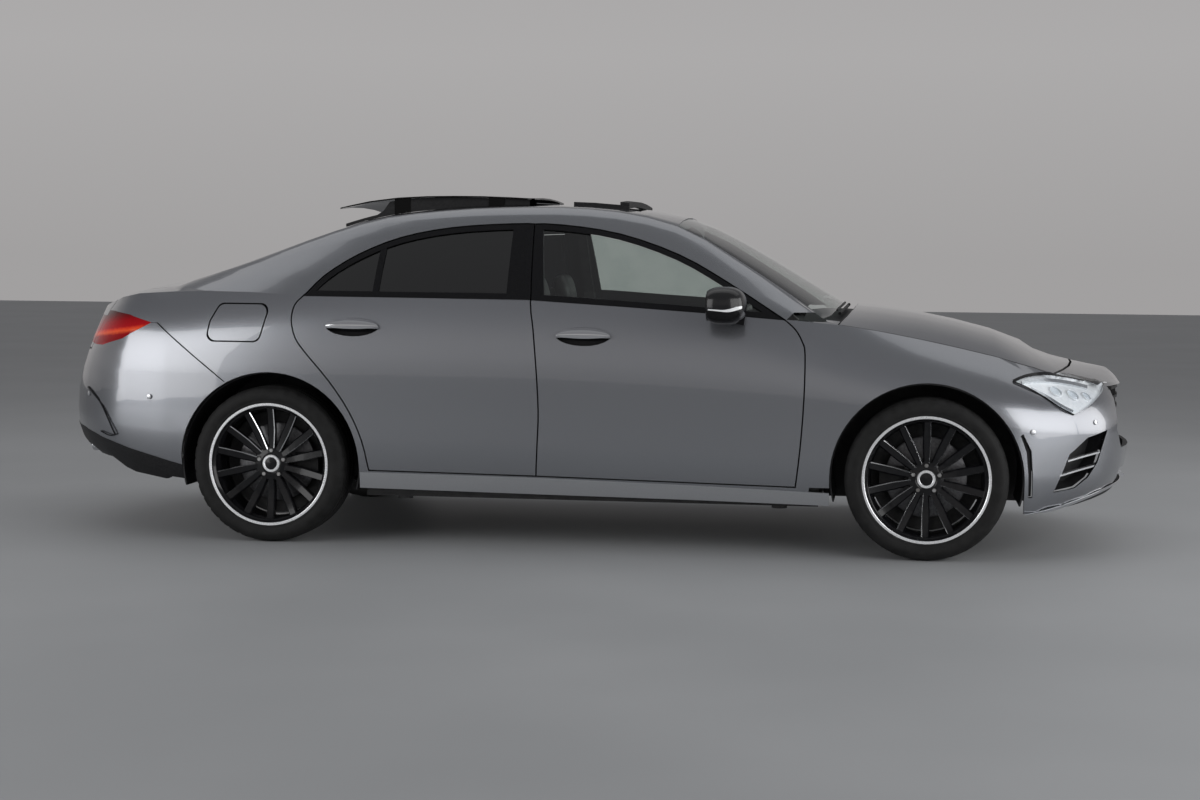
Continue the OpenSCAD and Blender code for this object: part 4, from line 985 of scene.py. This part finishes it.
def cushion(c, size, turn, n=6, round_by=.22):
    """A rounded pad with pulled-in sides, in millimetres, leaning by degrees about Y."""
    a = math.radians(turn)
    v = []
    m, rows = 4 * n, 9
    for z in np.linspace(-1, 1, rows):
        g = (1 - abs(z)**3.2 * round_by * 1.2)
        for i in range(m):
            t = 2 * math.pi * i / m
            cx, cy = math.cos(t), math.sin(t)
            q = (abs(cx)**5 + abs(cy)**5) ** -.2
            x, y, w = cx * q * g * size[0] / 2, cy * q * g * size[1] / 2, z * size[2] / 2
            v.append((c[0] + x * math.cos(a) + w * math.sin(a), c[1] + y,
                      c[2] - x * math.sin(a) + w * math.cos(a)))
    return v, capped(rows, m)


SWELL_PRESSURE, SWELL_QUALITY, SWELL_FRAMES = 4.0, 4, 20


def soft(name, pads, nodes_replaced, voxel=.014, cap=.024):
    """Pads swollen by a short cloth run; the result is applied, so nothing is left to simulate."""
    b = Build()
    for c, size, turn in pads:
        b.add(*cushion(c, size, turn), "leather")
    o = b.done(name, "body", None, 60)
    bpy.context.view_layer.objects.active = o
    o.select_set(True)
    md = o.modifiers.new("remesh", "REMESH")
    md.mode, md.voxel_size = "VOXEL", voxel
    bpy.ops.object.modifier_apply(modifier=md.name)
    start = np.empty(len(o.data.vertices) * 3)
    o.data.vertices.foreach_get("co", start)
    md = o.modifiers.new("swell", "CLOTH")
    md.settings.use_pressure = True
    md.settings.uniform_pressure_force = SWELL_PRESSURE
    md.settings.quality = SWELL_QUALITY
    md.settings.effector_weights.gravity = 0
    sc = bpy.context.scene
    for fr in range(1, SWELL_FRAMES + 1):
        sc.frame_set(fr)
    ev = o.evaluated_get(bpy.context.evaluated_depsgraph_get())
    end = np.empty(len(ev.data.vertices) * 3)
    ev.data.vertices.foreach_get("co", end)
    o.modifiers.remove(md)
    sc.frame_set(1)
    d = (end - start).reshape(-1, 3)
    far_by = np.linalg.norm(d, axis=1, keepdims=True)
    d *= np.minimum(1, cap / np.maximum(far_by, 1e-9))
    o.data.vertices.foreach_set("co", (start.reshape(-1, 3) + d).ravel())
    o.data.update()
    sd = o.modifiers.new("smooth", "SUBSURF")
    sd.levels = sd.render_levels = 1
    o.data.shade_smooth()
    o.select_set(False)
    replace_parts(o, nodes_replaced)
    return o


for s in SIDES:
    y = SGN[s] * 370
    soft(f"seat_{s}", [((215, y, 405), (470, 430, 130), -5), ((215, y - 195, 440), (420, 70, 110), -5),
                       ((215, y + 195, 440), (420, 70, 110), -5), ((-85, y, 700), (105, 400, 520), -20),
                       ((-70, y - 195, 690), (120, 70, 470), -20), ((-70, y + 195, 690), (120, 70, 470), -20),
                       ((-205, y, 1050), (80, 230, 150), -14)], "front_seats")
soft("bench", [((-600, -235, 405), (400, 440, 110), -4), ((-600, 235, 405), (400, 440, 110), -4),
               ((-905, -235, 700), (90, 440, 500), -17), ((-905, 235, 700), (90, 440, 500), -17)],
     "rear_bench")
b = Build()
b.add(*block((700, -330, 985), (18, 560, 100), -12), "black_gloss")
b.done("dash_screen", "body")
PIVOT_X, PIVOT_Z, GLASS_LIFT, GLASS_TILT = -220, 1430, 22, math.radians(4.0)   # the raised sunroof glass
b = Build()
for y in (-392, 392):
    top, low = [], []
    for x in np.linspace(-240, -1060, 30):
        roof = on_top(x, y)[2]
        gx = PIVOT_X + (x - PIVOT_X) / math.cos(GLASS_TILT)
        glass = (PIVOT_Z + (on_top(gx, y)[2] + GLASS_LIFT - PIVOT_Z) * math.cos(GLASS_TILT)
                 - (gx - PIVOT_X) * math.sin(GLASS_TILT))
        h = min(glass - roof, 26 if x < -880 else 60) if x < -640 else glass - roof
        low.append((x, y, roof + .5))
        top.append((x, y, roof + max(h, 6) if x > -900 else roof + 14))
    for dy in (-5, 5):
        n = len(low)
        b.add([(x, yy + dy, z) for x, yy, z in low + top],
              [(i, i + 1, n + i + 1, n + i) for i in range(n - 1)], "black_satin")
b.done("sunroof_guides", "body")


def rest_line(y, h):
    """Where the windscreen stands h above the bonnet's surface: the line that a parked wiper follows."""
    lo, hi = 880.0, 1288.0
    for _ in range(30):
        x = (lo + hi) / 2
        lo, hi = (x, hi) if on_top(x, y)[2] - on_top(x, y, 0, False)[2] > h else (lo, x)
    return on_top(lo, y, 0)


b = Build()
for y in (-480, 60):
    arm = [rest_line(y + 350 * t, 6) for t in np.linspace(0, 1, 10)]
    blade = [rest_line(y + 40 + 440 * t, 6) for t in np.linspace(0, 1, 14)]
    b.add(*tube([tuple(on_top(p[0] + 24, p[1], -12, False)) for p in arm], 7, 10), "black_satin")
    b.add(*tube([tuple(on_top(p[0] + 6, p[1], -4, False)) for p in blade], 5, 8), "black_satin")
b.done("wipers", "body")
COWL = ((960, 800), (1020, 790), (1080, 770), (1140, 740), (1200, 700))   # x and half width
ACROSS = 33
v = [tuple(on_top(x, y, -30, False)) for x, w in COWL for y in np.linspace(-w, w, ACROSS)]
b = Build().add(v, [(i * ACROSS + j, i * ACROSS + j + 1, (i + 1) * ACROSS + j + 1, (i + 1) * ACROSS + j)
                    for i in range(len(COWL) - 1) for j in range(ACROSS - 1)], "black_satin")
b.done("cowl_cover", "body")

# Floor, light and camera.
bpy.ops.mesh.primitive_plane_add(size=80)
floor = bpy.context.object
floor.name = "floor"
floor.data.materials.append(surface_mat("studio_floor", (.35, .36, .37), (.39, .40, .41), .6, (.5, .62)))
world = bpy.data.worlds.new("studio")
bpy.context.scene.world = world
world.use_nodes = True
wt = world.node_tree
wt.nodes.clear()
bg = wt.nodes.new("ShaderNodeBackground")
tc = wt.nodes.new("ShaderNodeTexCoord")
sp = wt.nodes.new("ShaderNodeSeparateXYZ")
rp = wt.nodes.new("ShaderNodeValToRGB")
fill_ramp(rp, ((0, (.40, .39, .39, 1)), (.10, (.46, .45, .45, 1)), (.24, (.42, .41, .41, 1)),
               (.44, (.25, .25, .26, 1)), (.72, (.22, .22, .23, 1)), (1, (.26, .265, .27, 1))))
wt.links.new(tc.outputs["Generated"], sp.inputs["Vector"])
wt.links.new(sp.outputs["Z"], rp.inputs["Fac"])
wt.links.new(rp.outputs["Color"], bg.inputs["Color"])
bg.inputs["Strength"].default_value = .9
wo = wt.nodes.new("ShaderNodeOutputWorld")
wt.links.new(bg.outputs["Background"], wo.inputs["Surface"])


def area(name, loc, target, size_x, size_y, power):
    li = bpy.data.lights.new(name, "AREA")
    li.shape, li.size, li.size_y, li.energy = "RECTANGLE", size_x, size_y, power
    o = bpy.data.objects.new(name, li)
    bpy.context.scene.collection.objects.link(o)
    o.location = loc
    o.rotation_euler = (Vector(target) - Vector(loc)).to_track_quat("-Z", "Y").to_euler()
    return o


area("ceiling", (0, 1.3, 5.5), (0, 1.3, 0), 11.0, 4.2, 80)
area("front_card", (6.8, -4.6, 2.6), (1.8, -.6, 2.0), 7.2, 5.0, 290)
area("nose_card", (8.6, .6, 2.3), (2.2, -.4, 1.4), 4.6, 4.4, 150)
area("rear_card", (-6.6, -5.5, 2.4), (-1.8, -.6, 1.8), 6.7, 4.6, 250)

cam = bpy.data.cameras.new("cam")
cam.lens, cam.sensor_width = 60.0, 36.0
cam_o = bpy.data.objects.new("cam", cam)
bpy.context.scene.collection.objects.link(cam_o)
CAM_AT = (1.3201, -8.9808, 1.2)
yaw, pitch, tilt = -.1439, .0703, -.009
ahead = Vector((math.sin(yaw) * math.cos(pitch), math.cos(yaw) * math.cos(pitch), -math.sin(pitch)))
level = Vector((math.cos(yaw), -math.sin(yaw), 0))
below = ahead.cross(level)
across = level * math.cos(tilt) + below * math.sin(tilt)
down = below * math.cos(tilt) - level * math.sin(tilt)
cam_o.matrix_world = Matrix([(across[i], -down[i], -ahead[i], CAM_AT[i]) for i in range(3)] + [(0, 0, 0, 1)])
bpy.context.scene.camera = cam_o
bpy.context.scene.view_settings.view_transform = "Standard"
